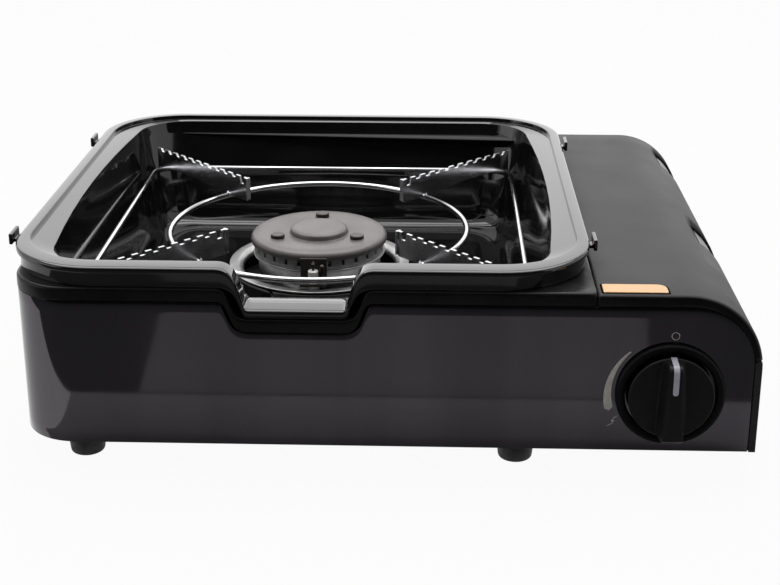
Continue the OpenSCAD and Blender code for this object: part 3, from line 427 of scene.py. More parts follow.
bowl_rows = []
for half_w, half_d, r, bulge, z, drop, front_in, notch_in in eased(bowl_path, bowl_cuts):
    row = []
    for x, y in bowl_outline(half_w, half_d, r, bulge, front_in):
        share = dip(axis_x + x * MM, bowl_notch) if y < 0 else 0
        row.append((axis_x + x * MM, axis_y + (y + notch_in * share) * MM, (z - drop * share) * MM))
    bowl_rows.append(row)
collar_turns = [math.atan2(y - axis_y, x - axis_x) for x, y, z in bowl_rows[-1]]
for r, z in eased([(66, 38.2), (58.5, 39), (53.2, 54.6), (51.5, 56)], [3.0, 1.2]):
    bowl_rows.append([
        (axis_x + r * MM * math.cos(a), axis_y + r * MM * math.sin(a), z * MM) for a in collar_turns])
gloss_enamel = surface(
    "gloss_black_enamel",
    {"IOR": 1.52},
    tint=(30, (0.0035, 0.0035, 0.0038), (0.006, 0.0058, 0.006)),
    polish=(55, 0.05, 0.09),
    relief=(120, 0.02, 0.00008),
)
drip_bowl = woven("enamelled_bowl", bowl_rows, gloss_enamel)
thicken(drip_bowl, enamelled_wall)
fit(drip_bowl, "base", "gloss_enamel", "drip_bowl")

# Rim clips: four small enamelled bars that press on the rim's outer edge from both sides.
# They keep the bowl from shifting on the cover.
dress("base", ("rim_clips", 0.7, "gloss_enamel", gloss_enamel))

# Reflector ring: a bright pressed steel ring that lies on the bowl's collar and throws heat upwards.
# It slopes down to the burner, and its outer edge is a flat flange.


def lathe(name, profile, centre, material, upright=True, count=96):
    """A turned piece: (radius, height) pairs about a vertical axis, or about one that points to the front."""
    rows = []
    for r, h in profile:
        row = []
        for k in range(count):
            a = 2 * math.pi * k / count
            offset = (r * math.cos(a), r * math.sin(a), h) if upright else (r * math.cos(a), -h, r * math.sin(a))
            row.append(tuple(c + MM * o for c, o in zip(centre, offset)))
        rows.append(row)
    return woven(name, rows, material)


bright_steel = surface(
    "bright_rolled_steel",
    {"Metallic": 1.0},
    tint=(70, (0.31, 0.306, 0.302), (0.39, 0.386, 0.382)),
    polish=(240, 0.28, 0.36),
    relief=(300, 0.02, 0.00008),
)
burner_axis = (axis_x, axis_y, 0)
reflector_ring = lathe(
    "reflector_pressing",
    eased([(53.4, 56.15), (53.5, 57.1), (48.2, 57.1), (45.6, 55.4), (45.0, 53.2), (45.2, 53.0),
           (45.8, 53.1), (50.4, 56.15), (53.4, 56.15)],
          [0.3, 1.2, 1.2, 0.4, 0.15, 0.3, 0.8]),
    burner_axis, bright_steel)
fit(reflector_ring, "base", "bright_steel", "reflector_ring")

# Burner: a cast aluminium body and slotted flame ring, under an enamelled cap held by three rivets.
# The cap is raised in the middle, with a shallow moat round the raised disc.
cast_aluminium = surface(
    "cast_aluminium",
    {"Metallic": 1.0},
    tint=(120, (0.26, 0.258, 0.264), (0.37, 0.366, 0.375)),
    polish=(200, 0.34, 0.46),
    relief=(900, 0.2, 0.00012),
)
cap_enamel = surface(
    "matt_cap_enamel",
    {"IOR": 1.5},
    tint=(60, (0.070, 0.061, 0.059), (0.098, 0.087, 0.084)),
    polish=(120, 0.36, 0.44),
    relief=(1500, 0.08, 0.00006),
)
cap_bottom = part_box("burner_cap")[0].z
burner_cap = lathe(
    "burner_cap_pressing",
    eased([(0, 0), (38.8, 0), (38.9, -1.5), (39.9, -1.5), (40.3, -0.9), (40.3, 1.2), (38.9, 3.0),
           (35.2, 3.9), (30, 4.0), (20.2, 3.1), (17.4, 2.6), (16.7, 5.3), (14.8, 6.4), (0, 6.4)],
          [0.3, 0.2, 0.3, 0.3, 0.9, 1.1, 1.8, 3.0, 1.2, 0.6, 0.9, 0.9]),
    (axis_x, axis_y, cap_bottom), cap_enamel, count=128)
fit(burner_cap, "base", "cap_enamel", "burner_cap")


def new_tree(name, **sizes):
    """A Geometry Nodes tree with a mesh, sizes and a finish as named inputs, and what builds it."""
    tree = bpy.data.node_groups.new(name, "GeometryNodeTree")
    for label, kind in {"Geometry": "Geometry", **sizes, "Finish": "Material"}.items():
        tree.interface.new_socket(label, in_out="INPUT", socket_type="NodeSocket" + kind)
    tree.interface.new_socket("Geometry", in_out="OUTPUT", socket_type="NodeSocketGeometry")
    return tree, tree.nodes.new, tree.links.new, tree.nodes.new("NodeGroupInput").outputs


def array_tree(name):
    """Geometry Nodes: copies the object's own mesh evenly round an upright axis."""
    tree, make, link, given = new_tree(name, Count="Int", Radius="Float", Turn="Float", Centre="Vector")

    def maths(kind, a, b):
        node = make("ShaderNodeMath")
        node.operation = kind
        for socket, value in zip(node.inputs, (a, b)):
            if isinstance(value, (int, float)):
                socket.default_value = value
            elif value is not None:
                link(value, socket)
        return node.outputs[0]

    index = make("GeometryNodeInputIndex").outputs[0]
    angle = maths("DIVIDE", maths("MULTIPLY", index, 2 * math.pi), given["Count"])
    angle = maths("ADD", angle, given["Turn"])
    place = make("ShaderNodeCombineXYZ")
    link(maths("MULTIPLY", maths("COSINE", angle, None), given["Radius"]), place.inputs["X"])
    link(maths("MULTIPLY", maths("SINE", angle, None), given["Radius"]), place.inputs["Y"])
    shift = make("ShaderNodeVectorMath")
    link(place.outputs[0], shift.inputs[0])
    link(given["Centre"], shift.inputs[1])
    points = make("GeometryNodePoints")
    link(given["Count"], points.inputs["Count"])
    link(shift.outputs[0], points.inputs["Position"])
    turn = make("ShaderNodeCombineXYZ")
    link(angle, turn.inputs["Z"])
    copies = make("GeometryNodeInstanceOnPoints")
    link(points.outputs[0], copies.inputs["Points"])
    link(given["Geometry"], copies.inputs["Instance"])
    link(turn.outputs[0], copies.inputs["Rotation"])
    finish_tree(tree, copies.outputs[0], given["Finish"])
    return tree


def finish_tree(tree, geometry, finish):
    """Ends a tree in plain faces with their finish."""
    real = tree.nodes.new("GeometryNodeRealizeInstances")
    paint = tree.nodes.new("GeometryNodeSetMaterial")
    end = tree.nodes.new("NodeGroupOutput")
    tree.links.new(geometry, real.inputs[0])
    tree.links.new(real.outputs[0], paint.inputs["Geometry"])
    tree.links.new(finish, paint.inputs["Material"])
    tree.links.new(paint.outputs[0], end.inputs[0])


def grown(piece, tree, **sizes):
    """Runs a tree on a piece and keeps the result as its plain mesh."""
    modifier = piece.modifiers.new("tree", "NODES")
    modifier.node_group = tree
    for item in tree.interface.items_tree:
        if item.in_out == "INPUT" and item.name in sizes:
            modifier[item.identifier] = sizes[item.name]
    evaluated = piece.evaluated_get(bpy.context.evaluated_depsgraph_get())
    mesh = bpy.data.meshes.new_from_object(evaluated)
    piece.modifiers.remove(modifier)
    piece.data = mesh
    return piece


round_array = array_tree("even_copies_round_an_axis")
rivet_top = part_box("cap_rivets")[1].z
rivet_head, rivet_circle_r = 1.8, 26.8 * MM
rivet_steel = surface(
    "burnt_rivet_steel",
    {"Metallic": 0.5},
    tint=(300, (0.030, 0.024, 0.022), (0.050, 0.041, 0.037)),
    polish=(300, 0.34, 0.46),
)
cap_rivets = lathe(
    "cap_rivet_heads",
    eased([(4.1, -0.2), (4.1, 1.5), (3.4, rivet_head), (0, rivet_head)], [0.5, 0.4]),
    (0, 0, 0), rivet_steel, count=32)
grown(cap_rivets, round_array, Count=3, Radius=rivet_circle_r, Turn=math.pi / 2,
      Centre=(axis_x, axis_y, rivet_top - rivet_head * MM), Finish=rivet_steel)
smooth(cap_rivets)
fit(cap_rivets, "base", "cap_enamel", "cap_rivets")

# Flame ring and burner body: cast aluminium. The ring is the slotted crown between the cap and the body,
# its teeth stand round the edge, and the gas burns in the gaps between them.
ring_low, ring_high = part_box("flame_ring")
flame_h = (ring_high.z - ring_low.z) / MM
flame_r, tooth_count, tooth_h = 38.3, 28, 5.6
flame_base = lathe(
    "flame_ring_casting",
    eased([(30, 0), (38.0, 0), (flame_r, 0.4), (flame_r, flame_h - 5.5), (34.6, flame_h - 5.3),
           (34.4, flame_h - 0.1), (30, flame_h - 0.1), (30, 0)], [0.3, 0.3, 0.4, 0.3, 0.3, 0.3]),
    (axis_x, axis_y, ring_low.z), cast_aluminium)
fit(flame_base, "base", "cast_aluminium", "flame_ring")
slot_half = 0.8
tooth_half = flame_r * math.pi / tooth_count - slot_half
tooth_rows = []
for z in (flame_h - tooth_h, flame_h - 0.02):
    tooth_rows.append([(x * MM, y * MM, z * MM) for x, y in (
        (33.6, -0.86 * tooth_half), (37.7, -tooth_half), (38.2, -0.84 * tooth_half), (flame_r, 0),
        (38.2, 0.84 * tooth_half), (37.7, tooth_half), (33.6, 0.86 * tooth_half))])
flame_teeth = woven("flame_ring_teeth", tooth_rows, cast_aluminium)
grown(flame_teeth, round_array, Count=tooth_count, Radius=0.0, Turn=math.pi / tooth_count,
      Centre=(axis_x, axis_y, ring_low.z), Finish=cast_aluminium)
fit(flame_teeth, "base", "cast_aluminium", "flame_ring")
dress("base", ("burner_body", 0.5, "cast_aluminium", cast_aluminium))

# Spark shield and sensors: a dark bent plate in front of the flame ring, which holds the white ceramic
# of the spark electrode and the brass flame sensor beside it.
dark_sheet = surface(
    "heat_stained_sheet",
    {"Metallic": 0.4, "Specular IOR Level": 0.2},
    tint=(90, (0.034, 0.029, 0.026), (0.052, 0.045, 0.040)),
    polish=(260, 0.38, 0.55),
    relief=(900, 0.15, 0.00006),
)
glazed_ceramic = surface(
    "glazed_ceramic",
    {"IOR": 1.52, "Coat Weight": 0.4},
    tint=(220, (0.62, 0.61, 0.58), (0.76, 0.75, 0.73)),
    polish=(300, 0.16, 0.26),
    relief=(800, 0.05, 0.00006),
)
brass = surface(
    "drawn_brass",
    {"Metallic": 1.0},
    tint=(110, (0.50, 0.33, 0.14), (0.66, 0.46, 0.21)),
    polish=(240, 0.24, 0.38),
    relief=(900, 0.1, 0.00005),
)
stained_brass = surface(
    "heat_stained_brass",
    {"Metallic": 1.0},
    tint=(160, (0.034, 0.029, 0.025), (0.055, 0.046, 0.038)),
    polish=(240, 0.35, 0.5),
    relief=(900, 0.1, 0.00005),
)
dress(
    "base",
    ("spark_shield", 0.3, "dark_sheet", dark_sheet),
    ("electrode_ceramic", 0.6, "ceramic", glazed_ceramic),
    ("electrode_pin", 0.25, "bright_steel", dark_sheet),
    ("thermocouple", 0.4, "brass", stained_brass),
    ("thermocouple_lead", 0.3, "brass", brass),
)

# Gas path: a brass tube and jet, a cast mixing tube under the burner and the cast valve block behind the dial.
# They are screwed and soldered together, and all of them lie inside.
dress(
    "base",
    ("gas_tube", 0.5, "brass", brass),
    ("gas_jet", 0.4, "brass", brass),
    ("mixing_tube", 0.6, "cast_aluminium", cast_aluminium),
    ("gas_regulator", 0.6, "cast_aluminium", cast_aluminium),
)

# Pan support: two wire rings welded to four stepped brackets, all chrome plated. It lies loose on the
# bowl's corner rests, and the brackets' teeth carry the pan.
chrome = surface(
    "chrome_plated_wire",
    {"Metallic": 1.0},
    tint=(60, (0.42, 0.42, 0.43), (0.52, 0.52, 0.53)),
    polish=(160, 0.10, 0.15),
)


def wire_tree(name, squared):
    """Geometry Nodes: a round wire bent to a ring, or to a square with rounded corners."""
    tree, make, link, given = new_tree(name, Reach="Float", Corner="Float", Wire="Float", Centre="Vector")
    if squared:
        twice = make("ShaderNodeMath")
        twice.operation = "MULTIPLY"
        twice.inputs[1].default_value = 2
        link(given["Reach"], twice.inputs[0])
        path = make("GeometryNodeCurvePrimitiveQuadrilateral")
        link(twice.outputs[0], path.inputs["Width"])
        link(twice.outputs[0], path.inputs["Height"])
        bend = make("GeometryNodeFilletCurve")
        bend.mode = "POLY"
        bend.inputs["Count"].default_value = 10
        link(path.outputs[0], bend.inputs["Curve"])
        link(given["Corner"], bend.inputs["Radius"])
        line = bend.outputs[0]
    else:
        path = make("GeometryNodeCurvePrimitiveCircle")
        path.inputs["Resolution"].default_value = 160
        link(given["Reach"], path.inputs["Radius"])
        line = path.outputs[0]
    move = make("GeometryNodeTransform")
    link(line, move.inputs["Geometry"])
    link(given["Centre"], move.inputs["Translation"])
    section = make("GeometryNodeCurvePrimitiveCircle")
    section.inputs["Resolution"].default_value = 20
    link(given["Wire"], section.inputs["Radius"])
    sweep = make("GeometryNodeCurveToMesh")
    link(move.outputs[0], sweep.inputs["Curve"])
    link(section.outputs[0], sweep.inputs["Profile Curve"])
    finish_tree(tree, sweep.outputs[0], given["Finish"])
    return tree


def bare_piece(name):
    """An empty mesh for a tree to fill."""
    piece = bpy.data.objects.new(name, bpy.data.meshes.new(name))
    scene.collection.objects.link(piece)
    return piece


for wire, squared, corner_r, lower in (
    ("frame_wire", True, 14 * MM, 0.8 * MM),
    ("ring_wire", False, 0.0, 1.5 * MM),
):
    wire_low, wire_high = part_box(wire)
    wire_r = (wire_high.z - wire_low.z) / 2
    loop = grown(
        bare_piece(wire + "_loop"), wire_tree(wire + "_bend", squared),
        Reach=(wire_high.x - wire_low.x) / 2 - wire_r, Corner=corner_r, Wire=wire_r,
        Centre=(axis_x, axis_y, (wire_low.z + wire_high.z) / 2 - lower), Finish=chrome)
    smooth(loop)
    fit(loop, "pan_support", "chrome_wire", wire)
chrome_sheet = surface(
    "chrome_plated_sheet",
    {"Metallic": 1.0},
    tint=(60, (0.46, 0.46, 0.475), (0.56, 0.56, 0.575)),
    polish=(160, 0.17, 0.23),
)
for corner in ("front_left", "front_right", "rear_right", "rear_left"):
    dress("pan_support", ("bracket_" + corner, 0.35, "chrome_sheet", chrome_sheet))

# Cartridge lid: a painted pressing that rolls over the right shoulder and opens on two hinges. Its front
# and back edges fold down in a narrow band, and two cut-outs clear the hinge brackets.
lid_low, lid_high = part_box("cartridge_lid")
shoulder_r = 39 * MM
lid_right = lid_high.x - 2 * MM
shoulder = (lid_right - shoulder_r, lid_high.z - shoulder_r)
lid_seam_angle, cutout_angle = 8, 57
band_r = 32.5 * MM
band_centre = (lid_right - 3.4 * MM - band_r, panel_high.z + 0.5 * MM - band_r)
lid_edge_r = 2.2 * MM
flat_start = lid_low.x + 12 * MM
lid_outer, lid_inner, lid_angles = [], [], []
for x, z in eased([(lid_low.x, cover_edge_z), (lid_low.x, lid_high.z), (flat_start, lid_high.z)], [1.4 * MM]):
    lid_outer.append((x, z))
    lid_inner.append((x, cover_edge_z))
    lid_angles.append(90)
for k in (1, 2, 3):
    x = flat_start + (shoulder[0] - flat_start) * k / 4
    lid_outer.append((x, lid_high.z))
    lid_inner.append((x, cover_edge_z))
    lid_angles.append(90)
arc_angles = [90 - 3 * k for k in range(11)] + [cutout_angle - 3.5 * k for k in range(14)] + [lid_seam_angle]
for angle in arc_angles:
    a = math.radians(angle)
    lid_outer.append((shoulder[0] + shoulder_r * math.cos(a), shoulder[1] + shoulder_r * math.sin(a)))
    lid_inner.append((band_centre[0] + band_r * math.cos(a), band_centre[1] + band_r * math.sin(a)))
    lid_angles.append(angle)


def lid_row(inset, y):
    """The lid's section at y, drawn in towards its band's inner edge."""
    row = []
    for (x, z), (u, w) in zip(lid_outer, lid_inner):
        length = math.hypot(u - x, w - z)
        share = min(inset / length, 1) if length > 1e-9 else 0
        row.append((x + (u - x) * share, y, z + (w - z) * share))
    return row


band_insets = (20, 4.5, 3.2)
edge_steps = []
for k in range(7):
    a = math.radians(90 * k / 6)
    edge_steps.append((lid_edge_r * (1 - math.sin(a)), lid_edge_r * (1 - math.cos(a))))
hinge_places, hinge_half = (112.5, 262.5), 15
hinge_spans = [(lid_low.y + (y - hinge_half) * MM, lid_low.y + (y + hinge_half) * MM) for y in hinge_places]
lid_ys = [y for span in hinge_spans for y in span] + [lid_low.y + y * MM for y in (30, 60, 150, 190, 225)]
lid_rows = [lid_row(inset * MM, lid_low.y) for inset in band_insets]
lid_rows += [lid_row(inset, lid_low.y + along) for inset, along in edge_steps]
lid_rows += [lid_row(0, y) for y in sorted(lid_ys)]
lid_rows += [lid_row(inset, lid_high.y - along) for inset, along in reversed(edge_steps)]
lid_rows += [lid_row(inset * MM, lid_high.y) for inset in reversed(band_insets)]


def at_hinge(j, i):
    """Whether a face of the lid falls in a hinge cut-out."""
    y = (lid_rows[j][0][1] + lid_rows[j + 1][0][1]) / 2
    return lid_angles[i] <= cutout_angle + 0.01 and any(low < y < high for low, high in hinge_spans)


cartridge_lid = woven("lid_pressing", lid_rows, lid_paint, closed=False, skip=at_hinge)
# The front fold band takes the satin black paint instead of the lid's grey: painted shade for the shade on that
# forward-facing fold.
cartridge_lid.data.materials.append(satin_paint)
for face in cartridge_lid.data.polygons:
    face.material_index = int(face.center.y < lid_low.y + 0.5 * MM)
thicken(cartridge_lid, sheet_wall)
fit(cartridge_lid, "lid", "lid_paint", "cartridge_lid")

# Bay seal: a strip of black coated sheet, fixed behind the panel's rounded edge.
# It closes the gap that the lid needs there.
seal_rows = []
for reach in (-7, 1.6):
    r = band_r + reach * MM
    line = [(band_centre[0] - 30 * MM, band_centre[1] + r)]
    for a in range(90, -1, -5):
        turn = math.radians(a)
        line.append((band_centre[0] + r * math.cos(turn), band_centre[1] + r * math.sin(turn)))
    line.append((band_centre[0] + r, panel_low.z + 1 * MM))
    seal_rows.append([(x, panel_low.y + 1.5 * MM, z) for x, z in line])
bay_seal = woven("bay_seal_strip", seal_rows, black_coat, closed=False)
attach(bay_seal, "base")

# Hinges and other inner metal: zinc-plated steel, folded, pierced and screwed or pinned together.
# The lid's hinge brackets show in its cut-outs, and the rest lies inside.
zinc_plate = surface(
    "zinc_plated_sheet",
    {"Metallic": 1.0},
    tint=(55, (0.42, 0.42, 0.41), (0.58, 0.58, 0.57)),
    polish=(120, 0.28, 0.44),
    relief=(500, 0.1, 0.00006),
)
dull_zinc = surface(
    "dulled_zinc_sheet",
    {"Metallic": 1.0},
    tint=(55, (0.11, 0.11, 0.112), (0.17, 0.17, 0.172)),
    polish=(120, 0.36, 0.48),
)
dress("base", ("hinge_brackets", 0.3, "zinc_sheet", dull_zinc), ("hinge_pins", 0.4, "zinc_sheet", dull_zinc))
for part, edge in (
    ("burner_stand", 0.3), ("burner_screws", 0.35), ("partition", 0.25),
    ("cover_screws", 0.3), ("regulator_screws", 0.35), ("cartridge_cradle", 0.3), ("cartridge_stop", 0.3),
    ("foot_screws", 0.35),
):
    dress("base", (part, edge, "zinc_sheet", zinc_plate))
dress("push", ("push_sleeve", 0.3, "zinc_sheet", zinc_plate))
dress("dial", ("valve_spindle", 0.3, "bright_steel", bright_steel))

# Ignition and magnet: a sleeved lead runs from the igniter, in white plastic below the valve, to the electrode.
# The plated magnet ring sits on the valve and holds the cartridge.
wire_sleeve = surface(
    "braided_wire_sleeve",
    {},
    tint=(900, (0.20, 0.035, 0.025), (0.32, 0.07, 0.05)),
    polish=(500, 0.5, 0.7),
    relief=(1800, 0.4, 0.0001),
)
magnet = surface(
    "plated_magnet",
    {"Metallic": 0.8},
    tint=(90, (0.10, 0.10, 0.105), (0.17, 0.17, 0.175)),
    polish=(200, 0.25, 0.4),
    relief=(700, 0.1, 0.00005),
)
white_plastic = surface(
    "white_moulded_plastic",
    {"IOR": 1.47},
    tint=(120, (0.72, 0.72, 0.70), (0.82, 0.82, 0.81)),
    polish=(400, 0.32, 0.42),
    relief=(1800, 0.08, 0.00005),
)
dress(
    "base",
    ("ignition_wire", 0.3, "wire_sleeve", wire_sleeve),
    ("magnet_ring", 0.5, "magnet", magnet),
    ("piezo_igniter", 0.5, "white_plastic", white_plastic),
)

# Badge: a bare copper-coloured plate with rounded corners, on a matt black seat whose colour is painted shade: the
# shadow line of the recess round it.
# It is glued near the lid's front edge.
copper_plate = surface(
    "copper_coloured_plate",
    {"Metallic": 0.6},
    tint=(60, (0.45, 0.262, 0.123), (0.475, 0.278, 0.132)),
    polish=(60, 0.36, 0.40),
)
badge_low, badge_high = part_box("lid_badge")
badge_depth, small_corner_r, large_corner_r = 11 * MM, 1 * MM, 4.5 * MM


def plate_outline(margin):
    """The badge's outline, grown by a margin, anticlockwise from its front left corner."""
    left, right = badge_low.x + 0.8 * MM - margin, badge_high.x - 0.3 * MM + margin
    front, back = badge_low.y - margin, badge_low.y + badge_depth + margin
    line = quarter(left + small_corner_r, front + small_corner_r, small_corner_r, 180, 4)
    line += quarter(right - small_corner_r, front + small_corner_r, small_corner_r, 270, 4)
    line += quarter(right - large_corner_r, back - large_corner_r, large_corner_r, 0, 8)
    return line + quarter(left + small_corner_r, back - small_corner_r, small_corner_r, 90, 4)


def plate(name, margin, bottom, top, material):
    """A flat plate with a small chamfer, closed by its middle line."""
    chamfer = 0.2 * MM
    rows = []
    for inset, z in ((0, bottom), (0, top - chamfer), (chamfer, top)):
        rows.append([(x, y, z) for x, y in plate_outline(margin - inset)])
    middle = badge_low.y + badge_depth / 2
    rows.append([(x, middle, top) for x, y, z in rows[-1]])
    return woven(name, rows, material)


lid_badge = plate("badge_plate", 0, badge_low.z, badge_high.z, copper_plate)
fit(lid_badge, "lid", "copper_plate", "lid_badge")
# The seat's near-black, non-reflecting film is painted shade for the shadow line round the badge's recess.
badge_shade_film = surface(
    "painted_shade_seat_film",
    {"Specular IOR Level": 0.0},
    tint=(200, (0.004, 0.004, 0.004), (0.006, 0.006, 0.006)),
    polish=(200, 0.6, 0.7),
)
badge_shade_seat = plate("badge_shade_seat", 1.0 * MM, badge_low.z, lid_high.z + 0.15 * MM, badge_shade_film)
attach(badge_shade_seat, "lid")

# Dial bezel: a ring round the dial, moulded in matt black plastic.
# It snaps on the panel and hides the valve's two screws.
dial_axis = (valve_x, panel_low.y, valve_z)
bezel_plastic = surface(
    "bezel_plastic",
    {"Specular IOR Level": 0.12},
    tint=(150, (0.0022, 0.0022, 0.0024), (0.0034, 0.0034, 0.0035)),
    polish=(420, 0.42, 0.5),
    relief=(1500, 0.03, 0.00005),
)
dial_bezel = lathe(
    "bezel_moulding",
    eased([(22.6, 0.02), (27.2, 0.02), (27.4, 0.4), (27.2, 2.2), (26.0, 3.4), (24.6, 3.3), (22.9, 2.6),
           (22.5, 1.8), (22.6, 0.02)], [0.2, 0.3, 0.8, 0.8, 0.6, 0.6, 0.4]),
    dial_axis, bezel_plastic, upright=False)
fit(dial_bezel, "base", "bezel_plastic", "dial_bezel")

# Control dial: a moulded knob with a raised grip bar across its disc. The bar is wider at the bottom,
# and its flanks sweep into the disc for the fingers.
dial_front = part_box("control_dial")[0].y
dial_plastic = surface(
    "dial_plastic",
    {"Specular IOR Level": 0.22},
    tint=(150, (0.0042, 0.0042, 0.0045), (0.006, 0.006, 0.0062)),
    polish=(420, 0.44, 0.52),
    relief=(1700, 0.03, 0.00005),
)
disc_back, disc_face, grip_front = 4.2, 6.0, -(dial_front - dial_axis[1]) / MM - 3.0
dial_disc = lathe(
    "dial_disc_moulding",
    eased([(0, disc_back), (21.0, disc_back), (21.5, disc_back + 0.4), (21.5, disc_face - 0.7),
           (20.8, disc_face), (0, disc_face - 0.6)], [0.4, 0.3, 0.4, 0.4]),
    dial_axis, dial_plastic, upright=False)
fit(dial_disc, "dial", "dial_plastic", "control_dial")


def grip_section(z):
    """Half width and front height of the grip bar at a height on the dial."""
    half = 5.5 - 1.9 * (z + 20.5) / 41
    end = min(max((-17.6 - z) / 3.2, 0), 1)
    top = min(max((z - 17.2) / 3.7, 0), 1)
    return half, grip_front - 3.2 * end ** 2 - 3.7 * (1 - math.sqrt(1 - top * top))


flare, grip_reach = 3.4, 21.2
grip_foot = disc_face - 0.9
grip_rows = []
for z in (-20.8, -20.2, -19.2, -18.2, -17.6, -14, -9, -4, 1, 6, 11, 16, 17.2, 18.2, 19.2, 20, 20.5, 20.8, 20.9):
    half, crown = grip_section(z)
    half_path = [(half + flare, grip_foot), (half + 0.5 * flare, grip_foot + 1.0), (half + 0.25, grip_foot + 4.4),
                 (half, crown - 1.4), (half - 0.35, crown - 0.45), (half - 1.3, crown), (half * 0.4, crown)]
    row = half_path + [(-x, h) for x, h in reversed(half_path)]
    limit = math.sqrt(max(grip_reach ** 2 - z * z, 0.5))
    grip_rows.append([
        (dial_axis[0] + MM * min(max(x, -limit), limit), dial_axis[1] - MM * h, dial_axis[2] + MM * z)
        for x, h in row])
grip_rows.insert(0, [(dial_axis[0], y, z) for x, y, z in grip_rows[0]])
grip_rows.append([(dial_axis[0], y, z) for x, y, z in grip_rows[-1]])
dial_grip = woven("dial_grip_moulding", grip_rows, dial_plastic)
fit(dial_grip, "dial", "dial_plastic", "control_dial")

# Pointer: a strip of pale plastic, let into the grip bar.
# It runs down the bar's front and over its upper end.
pointer_low, pointer_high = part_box("dial_pointer")
pointer_half = (pointer_high.x - pointer_low.x) / 2
pointer_rows = []
pointer_path = [(z, grip_section(z)[1] + 0.12, share) for z, share in (
    (6.3, 0.2), (6.45, 0.55), (6.8, 0.84), (7.3, 0.98), (8, 1), (13, 1), (17.2, 1), (18.2, 1), (19.2, 1), (20, 1))]
pointer_path += [(20.75, grip_section(20.5)[1] + 0.1, 1), (21.15, grip_section(20.9)[1] + 0.3, 1),
                 (21.6, disc_face, 1), (21.7, disc_face - 0.6, 1), (21.75, disc_back + 0.1, 1)]
for z, h, share in pointer_path:
    pointer_rows.append([
        (dial_axis[0] + pointer_half * share * s, dial_axis[1] - MM * h, dial_axis[2] + MM * z)
        for s in (-1, -0.9, 0, 0.9, 1)])
pale_plastic = surface(
    "pale_pointer_plastic",
    {"IOR": 1.47},
    tint=(120, (0.40, 0.39, 0.45), (0.47, 0.46, 0.52)),
    polish=(400, 0.34, 0.44),
)
dial_pointer = woven("pointer_strip", pointer_rows, pale_plastic, closed=False)
thicken(dial_pointer, 0.7 * MM)
fit(dial_pointer, "dial", "white_plastic", "dial_pointer")

# Dial marks: symbols for off, flame and spark, in pale ink.
# They are printed on the panel round the bezel.
mark_ink = surface(
    "pale_mark_ink",
    {},
    tint=(300, (0.44, 0.43, 0.39), (0.54, 0.53, 0.48)),
    polish=(300, 0.45, 0.6),
)
ink_y = panel_low.y - 0.06 * MM


def printed(name, outer, inner, closed=True):
    """A flat printed shape between two lines of equal length."""
    rows = [[(dial_axis[0] + MM * x, ink_y, dial_axis[2] + MM * z) for x, z in line] for line in (outer, inner)]
    mark = woven(name, rows, mark_ink, closed)
    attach(mark, "base")


ring_turns = [2 * math.pi * k / 32 for k in range(32)]
off_x, off_z = 1.0, 31.1
off_lines = [[(off_x + r * math.cos(a), off_z + r * math.sin(a)) for a in ring_turns] for r in (2.1, 1.75)]
printed("off_mark", *off_lines)
round_start = 0.92
wedge_outer, wedge_inner = [], []
for k in range(25):
    t = k / 24
    turn = math.radians(132.5 + 65.5 * t)
    middle = 30.4 + 0.9 * t
    half = 0.35 + 1.95 * t ** 0.9
    if t > round_start:
        half *= math.sqrt(max(1 - ((t - round_start) / (1 - round_start)) ** 2, 0))
    wedge_outer.append(((middle + half) * math.cos(turn), (middle + half) * math.sin(turn)))
    wedge_inner.append(((middle - half) * math.cos(turn), (middle - half) * math.sin(turn)))
printed("flame_mark", wedge_outer, wedge_inner, closed=False)
bolt_line = [(-25.1, -12.3), (-28.2, -14.4), (-27.3, -16.2), (-30.8, -18.5)]
bolt_half = [0.15, 0.6, 0.6, 0.15]
printed(
    "spark_mark",
    [(x + 0.6 * half, z + half) for (x, z), half in zip(bolt_line, bolt_half)],
    [(x - 0.6 * half, z - half) for (x, z), half in zip(bolt_line, bolt_half)], closed=False)

# Feet: four feet of black rubber, moulded with a recess for the screw's head.
# Each is fixed to the base pan by one screw from below.
feet_low, feet_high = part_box("rubber_feet")
foot_r, recess_r, screw_hole_r, recess_h = 9.9, 4.4, 2.4, 5.8
foot_h = (feet_high.z - feet_low.z) / MM
rubber = surface(
    "moulded_rubber",
    {"Specular IOR Level": 0.35},
    tint=(120, (0.010, 0.010, 0.010), (0.018, 0.0175, 0.017)),
    polish=(300, 0.55, 0.72),
    relief=(1500, 0.2, 0.00006),
)


def grid_tree(name):
    """Geometry Nodes: copies the object's own mesh to the four corners of a rectangle."""
    tree, make, link, given = new_tree(name, Width="Float", Depth="Float", Centre="Vector")
    corners = make("GeometryNodeMeshGrid")
    corners.inputs["Vertices X"].default_value = 2
    corners.inputs["Vertices Y"].default_value = 2
    link(given["Width"], corners.inputs["Size X"])
    link(given["Depth"], corners.inputs["Size Y"])
    move = make("GeometryNodeTransform")
    link(corners.outputs[0], move.inputs["Geometry"])
    link(given["Centre"], move.inputs["Translation"])
    copies = make("GeometryNodeInstanceOnPoints")
    link(move.outputs[0], copies.inputs["Points"])
    link(given["Geometry"], copies.inputs["Instance"])
    finish_tree(tree, copies.outputs[0], given["Finish"])
    return tree


rubber_feet = lathe(
    "rubber_foot_mouldings",
    eased([(recess_r, recess_h), (recess_r, 0), (8.0, 0), (8.8, 0.9), (foot_r, foot_h - 0.6), (foot_r, foot_h),
           (screw_hole_r, foot_h), (screw_hole_r, recess_h), (recess_r, recess_h)],
          [0.4, 0.6, 0.7, 0.4, 0.2, 0.2, 0.2]),
    (0, 0, 0), rubber, count=40)
grown(rubber_feet, grid_tree("copies_at_four_corners"),
      Width=feet_high.x - feet_low.x - 2 * foot_r * MM, Depth=feet_high.y - feet_low.y - 2 * foot_r * MM,
      Centre=((feet_low.x + feet_high.x) / 2, (feet_low.y + feet_high.y) / 2, feet_low.z), Finish=rubber)
smooth(rubber_feet)
fit(rubber_feet, "base", "rubber", "rubber_feet")

# Floor and light: a white floor in a white room. A large soft box hangs above, a wide one glows low behind
# and one stands on the left. Grey cards lie on the floor and a dark one stands in front, for mirrors alone.


